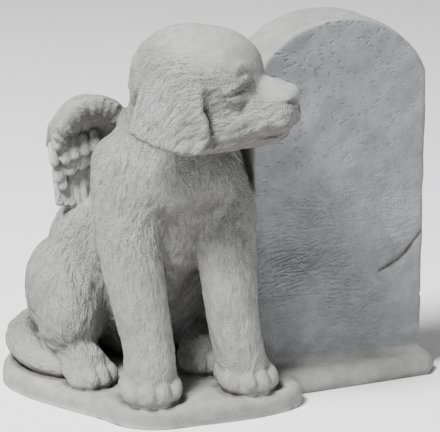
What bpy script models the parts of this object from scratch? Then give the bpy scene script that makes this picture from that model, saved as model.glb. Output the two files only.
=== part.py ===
"""Garden memorial statue: a winged puppy sitting beside an arched headstone.

The whole statue is one casting: puppy, wings, headstone and the low base under
them. It is shaped the way a modeller works in clay: simple masses are laid on
and cut away in a block of signed distances, and the skin of the block becomes
the mesh. World axes: +X towards the headstone, the puppy faces -Y, +Z is up.
Block measures are millimetres, and the finished mesh is in metres.
"""

import math

import bmesh
import bpy
import numpy as np
import openvdb
from mathutils import Euler, Matrix

# Sizes of the headstone, in metres
HEADSTONE_WIDTH = 0.151
HEADSTONE_HEIGHT = 0.290
HEADSTONE_THICKNESS = 0.059
ARCH_RISE = 0.042
ARCH_SHOULDER = 0.012
HEADSTONE_EDGE = 0.0035

# Sizes of the base
BASE_THICKNESS = 0.017
BASE_EDGE = 0.008
LEDGE_FRONT = 0.024
LEDGE_SIDE = 0.010
LEDGE_BACK = 0.014

# The puppy: its height over the base. It is drawn on a grid of FIGURE_GRID
# units to that height, so its pose and proportions are shares of the height.
PUPPY_HEIGHT = 0.294
FIGURE_GRID = 294.0

# From the puppy's midline to the headstone's near side, and from the
# headstone's front face back to the puppy's shoulder joints, in figure units
MIDLINE_TO_HEADSTONE = 65.0
SHOULDER_TO_FACE = 28.0

# How soft the joins between masses are, in millimetres
JOIN_TO_STONE = 2.5

CLAY_STEP = 0.0027
FACE_BUDGET = 9400

STONE_COLOUR = (0.50, 0.50, 0.49, 1.0)
STONE_ROUGHNESS = 0.92

METRE = 1000.0
SIDES = (-1.0, 1.0)


class Place:
    """Axes that a mass is drawn in: moved, turned and scaled in the block."""

    def __init__(self, origin=(0.0, 0.0, 0.0), turn=None, scale=1.0):
        self.origin = np.array(origin, dtype=float)
        self.turn = np.eye(3) if turn is None else np.array(turn)
        self.scale = scale

    def at(self, origin, angles=(0.0, 0.0, 0.0)):
        """A place inside this one, turned by degrees about X, Y and Z."""
        turn = np.array(Euler([math.radians(a) for a in angles], "XYZ").to_matrix())
        return Place(self.out(origin), self.turn @ turn, self.scale)

    def out(self, point):
        """A point of this place, in the block."""
        return self.origin + self.scale * (self.turn @ np.array(point, dtype=float))


class Clay:
    """A block of signed distances on a regular grid, negative inside the clay."""

    def __init__(self, low, high, step):
        self.low = np.array(low, dtype=float)
        self.step = step
        counts = np.ceil((np.array(high) - self.low) / step).astype(int) + 1
        self.axes = [self.low[i] + step * np.arange(counts[i]) for i in range(3)]
        self.field = np.full(counts, 1000.0, dtype=np.float32)

    def window(self, place, low, high, margin):
        """The part of the block round a box drawn in a place, and its points there."""
        corners = [place.out((x, y, z)) for x in (low[0], high[0])
                   for y in (low[1], high[1]) for z in (low[2], high[2])]
        first = np.min(corners, axis=0) - margin
        last = np.max(corners, axis=0) + margin
        start = np.clip(np.floor((first - self.low) / self.step).astype(int), 0, None)
        stop = np.ceil((last - self.low) / self.step).astype(int) + 1
        part = tuple(slice(a, max(a, b)) for a, b in zip(start, stop))
        grids = np.meshgrid(*[self.axes[i][part[i]] for i in range(3)], indexing="ij")
        away = [grids[i] - place.origin[i] for i in range(3)]
        local = [sum(away[j] * place.turn[j, i] for j in range(3)) / place.scale
                 for i in range(3)]
        return part, local

    def add(self, place, shape, soft):
        """Lay a mass on, with a join as soft as a number of millimetres."""
        part, local = self.window(place, shape.low, shape.high, 1.5 * soft + 2 * self.step)
        mass = shape.distance(*local) * place.scale
        self.field[part] = soft_min(self.field[part], mass, soft)

    def cut(self, place, shape, soft):
        """Take a mass away, with an edge as soft as a number of millimetres."""
        part, local = self.window(place, shape.low, shape.high, 1.5 * soft + 2 * self.step)
        mass = shape.distance(*local) * place.scale
        self.field[part] = -soft_min(-self.field[part], mass, soft)


def soft_min(one, two, soft):
    """The lower of two distances, rounded where they are nearly equal."""
    share = np.clip(0.5 + 0.5 * (two - one) / soft, 0.0, 1.0)
    return two + (one - two) * share - soft * share * (1.0 - share)


class Ball:
    """An ellipsoid about the origin of its place."""

    def __init__(self, radii):
        self.radii = radii
        self.low = [-r for r in radii]
        self.high = list(radii)

    def distance(self, x, y, z):
        rx, ry, rz = self.radii
        near = np.sqrt((x / rx) ** 2 + (y / ry) ** 2 + (z / rz) ** 2)
        slope = np.sqrt((x / rx**2) ** 2 + (y / ry**2) ** 2 + (z / rz**2) ** 2)
        return near * (near - 1.0) / np.maximum(slope, 1e-6)


class Limb:
    """A rounded rod through points (x, y, z, radius), flattened along one axis if asked."""

    def __init__(self, points, flat=(1.0, 1.0, 1.0)):
        self.flat = np.array(flat)
        self.points = np.array(points, dtype=float)
        self.points[:, :3] /= self.flat
        reach = self.points[:, 3:4]
        self.low = np.min(self.points[:, :3] - reach, axis=0) * self.flat
        self.high = np.max(self.points[:, :3] + reach, axis=0) * self.flat

    def distance(self, x, y, z):
        x, y, z = x / self.flat[0], y / self.flat[1], z / self.flat[2]
        nearest = None
        for a, b in zip(self.points[:-1], self.points[1:]):
            run = b[:3] - a[:3]
            along = (x - a[0]) * run[0] + (y - a[1]) * run[1] + (z - a[2]) * run[2]
            share = np.clip(along / (run @ run), 0.0, 1.0)
            gap = np.sqrt((x - a[0] - share * run[0]) ** 2
                          + (y - a[1] - share * run[1]) ** 2
                          + (z - a[2] - share * run[2]) ** 2)
            rod = gap - (a[3] + share * (b[3] - a[3]))
            nearest = rod if nearest is None else np.minimum(nearest, rod)
        return nearest * float(np.min(self.flat))


class Slab:
    """A flat outline in X and Y, thick along Z, with its edges rounded."""

    def __init__(self, outline, bottom, top, edge):
        self.outline = np.array(outline, dtype=float)
        self.bottom, self.top, self.edge = bottom, top, edge
        self.low = [*np.min(self.outline, axis=0), bottom]
        self.high = [*np.max(self.outline, axis=0), top]

    def distance(self, x, y, z):
        middle = 0.5 * (self.bottom + self.top)
        half = 0.5 * (self.top - self.bottom)
        across = outline_distance(self.outline, x, y) + self.edge
        along = np.abs(z - middle) - half + self.edge
        outside = np.sqrt(np.maximum(across, 0.0) ** 2 + np.maximum(along, 0.0) ** 2)
        return outside + np.minimum(np.maximum(across, along), 0.0) - self.edge


def outline_distance(outline, x, y):
    """Signed distance to a closed outline, negative inside."""
    nearest = np.full(np.broadcast(x, y).shape, np.inf)
    inside = np.zeros(nearest.shape, dtype=bool)
    for a, b in zip(outline, np.roll(outline, -1, axis=0)):
        run = b - a
        share = np.clip(((x - a[0]) * run[0] + (y - a[1]) * run[1]) / (run @ run), 0.0, 1.0)
        gap = (x - a[0] - share * run[0]) ** 2 + (y - a[1] - share * run[1]) ** 2
        nearest = np.minimum(nearest, gap)
        if a[1] != b[1]:
            crosses = (y < a[1]) != (y < b[1])
            inside ^= crosses & (x < a[0] + (y - a[1]) * run[0] / run[1])
    return np.where(inside, -1.0, 1.0) * np.sqrt(nearest)


def smooth_outline(points, steps=6):
    """A closed curve through points, as a finer outline."""
    points = np.array(points, dtype=float)
    before, after, beyond = (np.roll(points, k, axis=0) for k in (1, -1, -2))
    rows = []
    for t in np.arange(steps) / steps:
        rows.append(0.5 * (2.0 * points + (after - before) * t
                           + (2.0 * before - 5.0 * points + 4.0 * after - beyond) * t**2
                           + (3.0 * points - before - 3.0 * after + beyond) * t**3))
    return np.stack(rows, axis=1).reshape(-1, 2)


def smooth_route(points, steps=5):
    """An open curve through points (x, y, z, radius), as a finer row of points."""
    points = np.array(points, dtype=float)
    ends = np.vstack([2 * points[0] - points[1], points, 2 * points[-1] - points[-2]])
    rows = []
    for i in range(len(points) - 1):
        p0, p1, p2, p3 = ends[i:i + 4]
        for t in np.arange(steps) / steps:
            rows.append(0.5 * (2.0 * p1 + (p2 - p0) * t + (2.0 * p0 - 5.0 * p1 + 4.0 * p2 - p3) * t**2
                               + (3.0 * p1 - p0 - 3.0 * p2 + p3) * t**3))
    rows.append(points[-1])
    return rows


def arch_outline(width, height, rise, shoulder, steps=28):
    """The headstone's front: straight sides under a low arch with rounded shoulders."""
    half = 0.5 * width
    radius = (half**2 + rise**2) / (2.0 * rise)
    reach = math.asin(half / radius)
    outline = [(-half, 0.0), (half, 0.0)]
    for i in range(steps + 1):
        angle = reach - 2.0 * reach * i / steps
        drop = shoulder * (abs(angle) / reach) ** 8 * 0.5
        outline.append((radius * math.sin(angle), height - radius + radius * math.cos(angle) - drop))
    return outline


def build_stone(clay, origin):
    """The headstone and its plinth. The origin is the foot of its near front corner."""
    width, height = HEADSTONE_WIDTH * METRE, HEADSTONE_HEIGHT * METRE
    thick, edge = HEADSTONE_THICKNESS * METRE, HEADSTONE_EDGE * METRE
    base, base_edge = BASE_THICKNESS * METRE, BASE_EDGE * METRE
    front, side, back = (ledge * METRE for ledge in (LEDGE_FRONT, LEDGE_SIDE, LEDGE_BACK))

    outline = arch_outline(width, height + base, ARCH_RISE * METRE, ARCH_SHOULDER * METRE)
    upright = Place(origin).at((0.5 * width, 0.5 * thick, -base), (90.0, 0.0, 0.0))
    clay.add(upright, Slab(outline, -0.5 * thick, 0.5 * thick, edge), 1.0)

    plinth = [(0.0, -front - 4.0), (0.5 * width, -front), (width, -front + 5.0),
              (width + side, -0.3 * front), (width + side, thick + 0.5 * back),
              (width, thick + back), (0.0, thick + back)]
    clay.add(Place(origin), Slab(plinth, -2.0 * base, 0.0, base_edge), 3.0)


def build_pad(clay, figure):
    """The low uneven base under the puppy, drawn in figure units."""
    base, edge = BASE_THICKNESS * METRE, BASE_EDGE * METRE
    pad = smooth_outline([(-127, 58), (-121, 24), (-100, -14), (-76, -50), (-62, -75),
                          (-38, -90), (0, -92), (40, -92), (74, -85), (90, -72), (91, -52),
                          (84, 20), (78, 82), (40, 110), (-20, 118), (-76, 112), (-112, 92)])
    under = -2.0 * base / figure.scale
    clay.add(figure, Slab(pad, under, 0.0, edge / figure.scale), 3.0)


def build_torso(clay, figure):
    """Rib cage, chest, belly, rump and neck."""
    spine = [(2, 22, 190, 38), (1, 16, 158, 48), (0, 28, 112, 54), (-5, 46, 68, 56), (-6, 56, 46, 52)]
    clay.add(figure, Limb(smooth_route(spine, 3)), 10.0)
    clay.add(figure.at((2, -22, 164)), Ball((45, 31, 35)), 8.0)
    brisket = [(6, -20, 138, 25), (1, -16, 106, 21), (-8, -8, 72, 14)]
    clay.add(figure, Limb(brisket), 9.0)
    clay.add(figure.at((-50, 44, 98)), Ball((38, 34, 48)), 14.0)
    clay.add(figure.at((58, 26, 92)), Ball((17, 26, 92)), 8.0)
    neck = [(0, 6, 182, 42), (-1, -10, 212, 35.5), (-2, -26, 236, 34)]
    clay.add(figure, Limb(neck), 12.0)
    ruff = [(-24, -52, 138, 3), (0, -56, 142, 4), (28, -50, 141, 3)]
    clay.cut(figure, Limb(smooth_route(ruff)), 8.0)


def build_foreleg(clay, figure, side):
    """Shoulder, upper arm, forearm and paw of one side."""
    if side < 0:
        leg = [(-36, 6, 176, 26), (-41, -14, 142, 26), (-42, -34, 108, 25),
               (-40, -50, 74, 22), (-36, -57, 42, 20.5), (-36, -61, 18, 21)]
    else:
        leg = [(40, 6, 176, 26), (44, -14, 142, 25), (39, -34, 108, 24),
               (36, -50, 74, 22), (38, -57, 42, 20.5), (42, -61, 18, 21)]
    clay.add(figure, Limb(smooth_route(leg, 3)), 9.0)
    elbow = figure.at((-45 if side < 0 else 46, -8, 116))
    clay.add(elbow, Ball((18, 22, 24)), 10.0)
    paw_x = -37 if side < 0 else 44
    build_paw(clay, figure.at((paw_x, -61, 0), (0, 0, 4 * side)), 1.1)


def build_paw(clay, place, size):
    """A paw with four toes. Its place is under the wrist, and the toes point to -Y."""
    clay.add(place.at((0, -2, 12 * size)), Ball((23 * size, 19 * size, 14 * size)), 5.0)
    toes = ((-16.0, -9, 8.4), (-5.6, -14.5, 9.6), (5.6, -14.5, 9.6), (16.0, -9, 8.4))
    for across, ahead, plump in toes:
        toe = place.at((across * size, ahead * size, 9 * size), (14, 0, -0.8 * across))
        clay.add(toe, Ball((plump * 0.80 * size, 11.5 * size, plump * size)), 1.6)


def build_hind_leg(clay, figure, side):
    """Haunch, hind foot and toes of one side, the far one tucked in by the stone."""
    thigh_x, foot_x = (-73, -72) if side < 0 else (56, 26)
    clay.add(figure.at((thigh_x, 48, 58), (0, 8 * side, 0)), Ball((34, 45, 50)), 6.0)
    clay.add(figure.at((thigh_x + 6 * side, 18, 46)), Ball((26, 26, 34)), 8.0)
    foot = [(foot_x + 13 * side, 40, 16, 16), (foot_x + 5 * side, 14, 19, 18), (foot_x, -8, 14, 16)]
    clay.add(figure, Limb(foot), 5.0)
    build_paw(clay, figure.at((foot_x, -10, 0), (0, 0, -8 * side)), 0.95)


def build_tail(clay, figure):
    """The tail, lying on the base round the near haunch."""
    route = [(-6, 94, 24, 18), (-50, 100, 21, 17), (-88, 90, 19, 16), (-106, 70, 17, 15),
             (-107, 44, 14, 13), (-100, 24, 10, 10.5), (-90, 8, 7, 6.5)]
    clay.add(figure, Limb(smooth_route(route)), 3.5)


def build_wing(clay, figure, side):
    """A small feathered wing on one shoulder: a rolled top edge over rows of feathers."""
    wing = figure.at((0, 42, 0))

    def spot(across, depth, height):
        return (across * side, depth, height)

    roll = [(*spot(22, -8, 200), 9), (*spot(31, -10, 212), 9.5), (*spot(44, -11, 217), 9.5),
            (*spot(56, -10, 216), 9.5), (*spot(67, -8, 210), 9.5), (*spot(75, -5, 201), 9),
            (*spot(79, -2, 189), 8), (*spot(80, 0, 177), 6)]
    clay.add(wing.at(spot(53, 3, 194)), Ball((31, 13, 31)), 6.0)
    clay.cut(wing.at(spot(52, -9, 196)), Ball((24, 13, 22)), 3.0)
    clay.add(wing, Limb(smooth_route(roll)), 2.5)
    clay.add(wing.at(spot(58, 5, 168), (4, 0, 0)), Ball((23, 6, 27)), 3.0)
    clay.add(wing.at(spot(66, 5.5, 168)), Ball((16, 4.5, 36)), 3.0)
    rows = ((5, 38, 67, 178, 172, -3, 21, 5.2, 3.4), (5, 45, 77, 161, 157, 0, 29, 5.2, 3.2),
            (5, 53, 77, 141, 135, 3, 46, 4.2, 3.0), (3, 81, 84, 176, 158, -1, 28, 4.4, 3.4))
    for count, first, last, tip_first, tip_last, depth, long, half, thick in rows:
        for i in range(count):
            share = i / (count - 1)
            across = first + share * (last - first)
            height = tip_first + share * (tip_last - tip_first) + 0.5 * long
            lean = (4.0 - 10.0 * share) * side
            feather = wing.at(spot(across, depth, height), (4, lean, 0))
            clay.add(feather, Ball((half, thick, 0.5 * long)), 0.8)
    if side > 0:
        clay.add(wing.at(spot(70, -2, 184)), Ball((18, 9, 38)), 3.0)


def build_head(clay, figure):
    """The head, turned towards the stone."""
    head = figure.at((-2, -38, 245), (0, 0, 52))
    clay.add(head.at((0, -10, 7)), Ball((43, 50, 45)), 8.0)
    clay.add(head.at((0, -36, 14.5)), Ball((30, 31.5, 33.5)), 10.0)
    for side in SIDES:
        jaw = [(20 * side, -18, -26, 21), (19 * side, -42, -25, 18), (12 * side, -62, -19, 14)]
        clay.add(head, Limb(jaw), 9.0)
    chin = [(0, -36, -34, 13), (0, -54, -32, 11.5), (0, -68, -30.5, 10), (0, -80, -28.5, 8)]
    clay.add(head, Limb(chin, (1.55, 1.0, 1.0)), 4.0)
    muzzle = [(0, -54, -7, 19), (0, -72, -9, 17), (0, -82, -9, 14)]
    clay.add(head, Limb(muzzle, (1.2, 1.0, 1.0)), 6.0)
    bridge = [(0, -58, 4, 12), (0, -77, 2.5, 10.5), (0, -88, 1, 9)]
    clay.add(head, Limb(bridge, (1.3, 1.0, 1.0)), 5.0)
    for side in SIDES:
        flew = [(15 * side, -58, -16, 11), (12.5 * side, -73, -17, 11.5), (8.5 * side, -84.5, -15.5, 11.5)]
        clay.add(head, Limb(smooth_route(flew, 3)), 4.0)
    clay.add(head.at((0, -90, 1.5)), Ball((10.5, 8, 7.5)), 1.5)
    build_eyes(clay, head)
    build_mouth(clay, head)
    build_ears(clay, head)


def build_eyes(clay, head):
    """Heavy upper lids that nearly close the eyes, under a low brow."""
    for side in SIDES:
        clay.cut(head.at((17 * side, -70, 5)), Ball((5, 7, 8)), 6.0)
        clay.add(head.at((22 * side, -53.5, 1)), Ball((9, 7.5, 7)), 3.0)
        brow = [(11 * side, -60, 18, 2.5), (13.5 * side, -58.5, 24, 3), (19 * side, -56, 26, 3),
                (25 * side, -51, 24, 2)]
        clay.add(head, Limb(smooth_route(brow)), 4.0)
        lid = [(29.5 * side, -49, 6, 2), (27 * side, -52, 9.5, 2.8), (22.5 * side, -56.5, 13, 2.8),
               (16 * side, -59, 15, 2.4)]
        clay.add(head, Limb(smooth_route(lid)), 2.5)
        fold = [(27 * side, -54, 16, 0.6), (22 * side, -59, 19, 1.4), (17 * side, -62.5, 19.5, 1.7),
                (13 * side, -65, 16, 1.6), (12 * side, -65.5, 12, 0.8)]
        clay.cut(head, Limb(smooth_route(fold)), 2.5)
        slit = [(30.5 * side, -51, 2, 0.9), (27.5 * side, -55, 4.8, 1.5), (23.1 * side, -59, 7.7, 1.7),
                (16 * side, -62.5, 10.3, 1.5)]
        clay.cut(head, Limb(smooth_route(slit)), 1.5)
        under = [(30 * side, -54, 1, 0.6), (27 * side, -57.5, -3, 1.0), (21 * side, -60.5, -5, 1.0),
                 (16.5 * side, -62, -4, 0.6)]
        clay.cut(head, Limb(smooth_route(under)), 2.5)


def build_mouth(clay, head):
    """The line of the lips, the split under the nose and the nostrils."""
    clay.cut(head, Limb([(0, -99, -8, 1.2), (0, -97, -24, 1.6)]), 1.5)
    for side in SIDES:
        lips = [(0.5 * side, -94.5, -22.5, 1.4), (5 * side, -92, -25.5, 1.7), (10 * side, -86, -29, 1.9),
                (13 * side, -78.5, -30.8, 1.9), (16 * side, -70.6, -31.2, 1.8), (20.5 * side, -64, -30.5, 1)]
        clay.cut(head, Limb(smooth_route(lips)), 1.5)
        nostril = [(4 * side, -99, -3.5, 2.0), (7.5 * side, -96, -2.5, 1.8), (11 * side, -91, -4.5, 1.0)]
        clay.cut(head, Limb(smooth_route(nostril)), 1.0)


def build_ears(clay, head):
    """Drop ears: flat flaps that follow the side of the skull, with a rolled rim."""
    corners = [(14, 14), (-4, 24), (-22, 22), (-30, 14), (-31, -2), (-36, -18),
               (-36, -31), (-28, -38), (-12, -37), (6, -32), (23, -26), (21, -6)]
    for side in SIDES:
        flap = EarFlap(smooth_outline(corners), side)
        clay.add(head, flap, 1.5)
        rim = [(*flap.spot(y, z, 1.2), 2.1) for y, z in corners[3:11]]
        clay.add(head, Limb(smooth_route(rim)), 5.0)


class EarFlap:
    """A flap cut to an outline in Y and Z, lying on a bulged side surface."""

    BULGE = (51.0, 68.0, 60.0)
    CENTRE = (0.0, -4.0, -20.0)
    THICK = 7.0
    EDGE = 3.0

    def __init__(self, outline, side):
        self.outline = outline
        self.side = side
        low, high = np.min(outline, axis=0), np.max(outline, axis=0)
        span = sorted((28.0 * side, 60.0 * side))
        self.low = [span[0], low[0], low[1]]
        self.high = [span[1], high[0], high[1]]
        self.carrier = Ball(self.BULGE)

    def spot(self, y, z, under):
        """A point of the flap, a little under its outer surface."""
        cy, cz = self.CENTRE[1:]
        reach = math.sqrt(1.0 - ((y - cy) / self.BULGE[1]) ** 2 - ((z - cz) / self.BULGE[2]) ** 2)
        return self.side * (self.BULGE[0] * reach - under), y, z

    def distance(self, x, y, z):
        cx, cy, cz = self.CENTRE
        depth = self.carrier.distance(x - cx, y - cy, z - cz)
        along = np.abs(depth + 0.5 * self.THICK) - 0.5 * self.THICK + self.EDGE
        across = outline_distance(self.outline, y, z) + self.EDGE
        outside = np.sqrt(np.maximum(across, 0.0) ** 2 + np.maximum(along, 0.0) ** 2)
        flap = outside + np.minimum(np.maximum(across, along), 0.0) - self.EDGE
        return np.where(x * self.side > 10.0, flap, 50.0)


def build_puppy(clay, figure):
    """The whole figure, from the large masses to the small ones."""
    build_torso(clay, figure)
    for side in SIDES:
        build_hind_leg(clay, figure, side)
        build_foreleg(clay, figure, side)
    build_tail(clay, figure)
    build_head(clay, figure)
    for side in SIDES:
        build_wing(clay, figure, side)


def sculpt():
    """The statue as points in millimetres and four-sided faces."""
    figure = Place(scale=PUPPY_HEIGHT * METRE / FIGURE_GRID)
    base = BASE_THICKNESS * METRE
    stone_at = figure.out((MIDLINE_TO_HEADSTONE, -SHOULDER_TO_FACE, 0.0))
    margin = 3.0 * CLAY_STEP * METRE
    low = np.minimum(figure.out((-134, -116, 0)), stone_at - LEDGE_FRONT * METRE - 8.0)
    high = np.maximum(figure.out((95, 122, 302)),
                      stone_at + METRE * np.array((HEADSTONE_WIDTH + LEDGE_SIDE,
                                                   HEADSTONE_THICKNESS + LEDGE_BACK,
                                                   HEADSTONE_HEIGHT)))
    low[2] = -base - margin
    stone = Clay(low - margin, high + margin, CLAY_STEP * METRE)
    build_pad(stone, figure)
    build_stone(stone, stone_at)
    puppy = Clay(low - margin, high + margin, CLAY_STEP * METRE)
    build_puppy(puppy, figure)
    block = soft_min(puppy.field, stone.field, JOIN_TO_STONE)

    grid = openvdb.FloatGrid(1000.0)
    grid.copyFromArray(np.ascontiguousarray(block))
    points, _, quads = grid.convertToPolygons(isovalue=0.0, adaptivity=0.0)
    return points * stone.step + stone.low, quads


def stone_material():
    """Grey cast stone, dry and matt."""
    material = bpy.data.materials.new("cast_stone")
    material.use_nodes = True
    shader = material.node_tree.nodes["Principled BSDF"]
    shader.inputs["Base Color"].default_value = STONE_COLOUR
    shader.inputs["Roughness"].default_value = STONE_ROUGHNESS
    shader.inputs["Metallic"].default_value = 0.0
    return material


def thin_out(mesh, budget):
    """The same skin with fewer faces."""
    work = bpy.data.objects.new("thinning", mesh)
    bpy.context.scene.collection.objects.link(work)
    thin = work.modifiers.new("thin", "DECIMATE")
    triangles = sum(len(face.vertices) - 2 for face in mesh.polygons)
    thin.ratio = min(1.0, budget / triangles)
    thin.use_collapse_triangulate = True
    ready = work.evaluated_get(bpy.context.evaluated_depsgraph_get())
    thinned = bpy.data.meshes.new_from_object(ready)
    bpy.data.objects.remove(work)
    return thinned


def drop_crumbs(form):
    """Keep the largest connected skin: soft joins can leave a loose crumb or a bubble."""
    form.verts.ensure_lookup_table()
    unseen = set(form.verts)
    skins = []
    while unseen:
        skin = {unseen.pop()}
        edge_of_skin = list(skin)
        while edge_of_skin:
            vert = edge_of_skin.pop()
            for edge in vert.link_edges:
                other = edge.other_vert(vert)
                if other in unseen:
                    unseen.remove(other)
                    skin.add(other)
                    edge_of_skin.append(other)
        skins.append(skin)
    skins.sort(key=len)
    for skin in skins[:-1]:
        bmesh.ops.delete(form, geom=list(skin), context="VERTS")


def cut_underside(mesh, level):
    """Cut the base off flat at a level, and close the cut."""
    form = bmesh.new()
    form.from_mesh(mesh)
    drop_crumbs(form)
    geometry = list(form.verts) + list(form.edges) + list(form.faces)
    bmesh.ops.bisect_plane(form, geom=geometry, dist=1e-6, plane_co=(0.0, 0.0, level),
                           plane_no=(0.0, 0.0, -1.0), clear_outer=True)
    rim = [edge for edge in form.edges if edge.is_boundary]
    bmesh.ops.holes_fill(form, edges=rim, sides=0)
    bmesh.ops.triangulate(form, faces=form.faces)
    bmesh.ops.recalc_face_normals(form, faces=form.faces)
    form.to_mesh(mesh)
    form.free()


def centre_on_base(mesh):
    """Move the mesh so that the middle of its box, at the underside, is the origin."""
    points = np.empty(3 * len(mesh.vertices))
    mesh.vertices.foreach_get("co", points)
    points = points.reshape(-1, 3)
    low, high = points.min(axis=0), points.max(axis=0)
    middle = 0.5 * (low + high)
    mesh.transform(Matrix.Translation((-middle[0], -middle[1], -low[2])))


def main():
    for item in list(bpy.data.objects):
        bpy.data.objects.remove(item)
    group = bpy.data.collections.new("pet_memorial_statue")
    bpy.context.scene.collection.children.link(group)

    points, quads = sculpt()
    mesh = bpy.data.meshes.new("memorial_statue")
    mesh.from_pydata((points / METRE).tolist(), [], quads.tolist())
    mesh.flip_normals()
    mesh = thin_out(mesh, FACE_BUDGET)
    cut_underside(mesh, -BASE_THICKNESS)
    centre_on_base(mesh)
    mesh.name = "memorial_statue"
    mesh.materials.clear()
    mesh.materials.append(stone_material())
    statue = bpy.data.objects.new("memorial_statue", mesh)
    group.objects.link(statue)


main()
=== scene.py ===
"""Looks of a garden memorial: a winged puppy sitting beside an arched headstone.

The whole statue is one casting in grey cast stone, so it is dressed as one piece.
It is shaped as a modeller works in clay: masses are laid on and cut away in a block
of signed distances, the skin of the block becomes the mesh, and the fur, the tool
marks and the crack are pressed into that skin. Block measures are millimetres. The
puppy sits at the block's origin and faces -Y, the headstone stands at its +X side,
and height is counted from the top of the base.
"""

import logging
import math
from collections.abc import Iterator, Sequence
from dataclasses import dataclass, field
from enum import Enum

import bmesh
import bpy
import numpy as np
import openvdb
from mathutils import Euler, Matrix, Vector

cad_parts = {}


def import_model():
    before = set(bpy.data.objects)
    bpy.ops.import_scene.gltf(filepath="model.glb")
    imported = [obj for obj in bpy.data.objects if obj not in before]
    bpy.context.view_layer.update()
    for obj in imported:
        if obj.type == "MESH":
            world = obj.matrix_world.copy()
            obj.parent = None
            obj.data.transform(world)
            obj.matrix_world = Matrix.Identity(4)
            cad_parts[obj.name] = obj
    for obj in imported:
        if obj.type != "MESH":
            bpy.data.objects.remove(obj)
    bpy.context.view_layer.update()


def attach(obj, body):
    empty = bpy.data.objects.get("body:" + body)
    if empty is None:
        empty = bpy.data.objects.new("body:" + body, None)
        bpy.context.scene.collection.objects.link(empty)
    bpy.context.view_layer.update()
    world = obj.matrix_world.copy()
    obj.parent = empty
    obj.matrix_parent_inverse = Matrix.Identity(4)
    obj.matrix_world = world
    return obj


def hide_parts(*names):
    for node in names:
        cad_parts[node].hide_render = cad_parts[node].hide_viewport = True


LOG = logging.getLogger("memorial_statue")

METRE = 1000.0
FAR_AWAY = 1000.0
HASH_KEYS = (73856093, 19349663, 83492791)

Point = tuple[float, float, float]
Station = tuple[float, float, float, float]
Route = Sequence[Station]


class Side(Enum):
    """The two sides of the puppy, by the sign of X."""

    RIGHT = -1.0
    LEFT = 1.0


class Region(Enum):
    """What a patch of the statue's skin is, as the name of its mask on the mesh."""

    COAT = "coat"
    FACE = "tooled"
    PLUMES = "plumes"
    SHAG = "shag"
    PITS = "pits"
    CHISEL = "chisel"
    CREASE = "crease"


class Place:
    """Axes that a mass is drawn in: moved, turned and scaled in the block."""

    def __init__(self, origin: Point = (0.0, 0.0, 0.0), turn: np.ndarray | None = None,
                 scale: float = 1.0) -> None:
        """Set the place by its origin, its turn as a 3 x 3 matrix and its scale."""
        self.origin = np.array(origin, dtype=float)
        self.turn = np.eye(3) if turn is None else np.array(turn)
        self.scale = scale

    def at(self, origin: Point, angles: Point = (0.0, 0.0, 0.0)) -> "Place":
        """Make a place inside this one.

        Args:
            origin: Its origin, in this place.
            angles: Its turns in degrees about X, Y and Z.

        Returns:
            The new place.
        """
        turn = np.array(Euler([math.radians(a) for a in angles], "XYZ").to_matrix())
        return Place(self.out(origin), self.turn @ turn, self.scale)

    def out(self, point: Point) -> np.ndarray:
        """Return a point of this place in the block."""
        return self.origin + self.scale * (self.turn @ np.array(point, dtype=float))

    def into(self, points: np.ndarray) -> np.ndarray:
        """Return points of the block (one a row) in this place."""
        return (points - self.origin) @ self.turn / self.scale


class Mass:
    """A form that can be laid on or cut away. Its box is low to high in its place."""

    low: Point
    high: Point

    def distance(self, x: np.ndarray, y: np.ndarray, z: np.ndarray) -> np.ndarray:
        """Measure how far points are from the form.

        Args:
            x: The points' X in the form's place.
            y: Their Y.
            z: Their Z.

        Returns:
            Signed distances, negative inside.
        """
        raise NotImplementedError


class Ball(Mass):
    """An ellipsoid about the origin of its place."""

    def __init__(self, radii: Point) -> None:
        """Set the three radii."""
        self.radii = radii
        self.low = tuple(-r for r in radii)
        self.high = tuple(radii)

    def distance(self, x: np.ndarray, y: np.ndarray, z: np.ndarray) -> np.ndarray:
        """Return the signed distances of points from the ellipsoid."""
        rx, ry, rz = self.radii
        near = np.sqrt((x / rx) ** 2 + (y / ry) ** 2 + (z / rz) ** 2)
        slope = np.sqrt((x / rx**2) ** 2 + (y / ry**2) ** 2 + (z / rz**2) ** 2)
        return near * (near - 1.0) / np.maximum(slope, 1e-6)


class Rod(Mass):
    """A rounded rod through stations (x, y, z, radius), flattened if asked."""

    def __init__(self, stations: Route, flat: Point = (1.0, 1.0, 1.0)) -> None:
        """Set the stations and how far each axis is stretched."""
        self.flat = flat
        stretch = np.array(flat)
        self.stations = np.array(stations, dtype=float)
        self.stations[:, :3] /= stretch
        reach = self.stations[:, 3:4]
        self.low = tuple(np.min(self.stations[:, :3] - reach, axis=0) * stretch)
        self.high = tuple(np.max(self.stations[:, :3] + reach, axis=0) * stretch)

    def distance(self, x: np.ndarray, y: np.ndarray, z: np.ndarray) -> np.ndarray:
        """Return the signed distances of points from the rod."""
        x, y, z = x / self.flat[0], y / self.flat[1], z / self.flat[2]
        nearest = np.full(x.shape, FAR_AWAY, dtype=x.dtype)
        for a, b in zip(self.stations[:-1].tolist(), self.stations[1:].tolist()):
            run = [b[i] - a[i] for i in range(3)]
            length = max(sum(step * step for step in run), 1e-9)
            along = (x - a[0]) * run[0] + (y - a[1]) * run[1] + (z - a[2]) * run[2]
            share = np.clip(along / length, 0.0, 1.0)
            gap = np.sqrt((x - a[0] - share * run[0]) ** 2
                          + (y - a[1] - share * run[1]) ** 2
                          + (z - a[2] - share * run[2]) ** 2)
            nearest = np.minimum(nearest, gap - (a[3] + share * (b[3] - a[3])))
        return nearest * min(self.flat)


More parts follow.
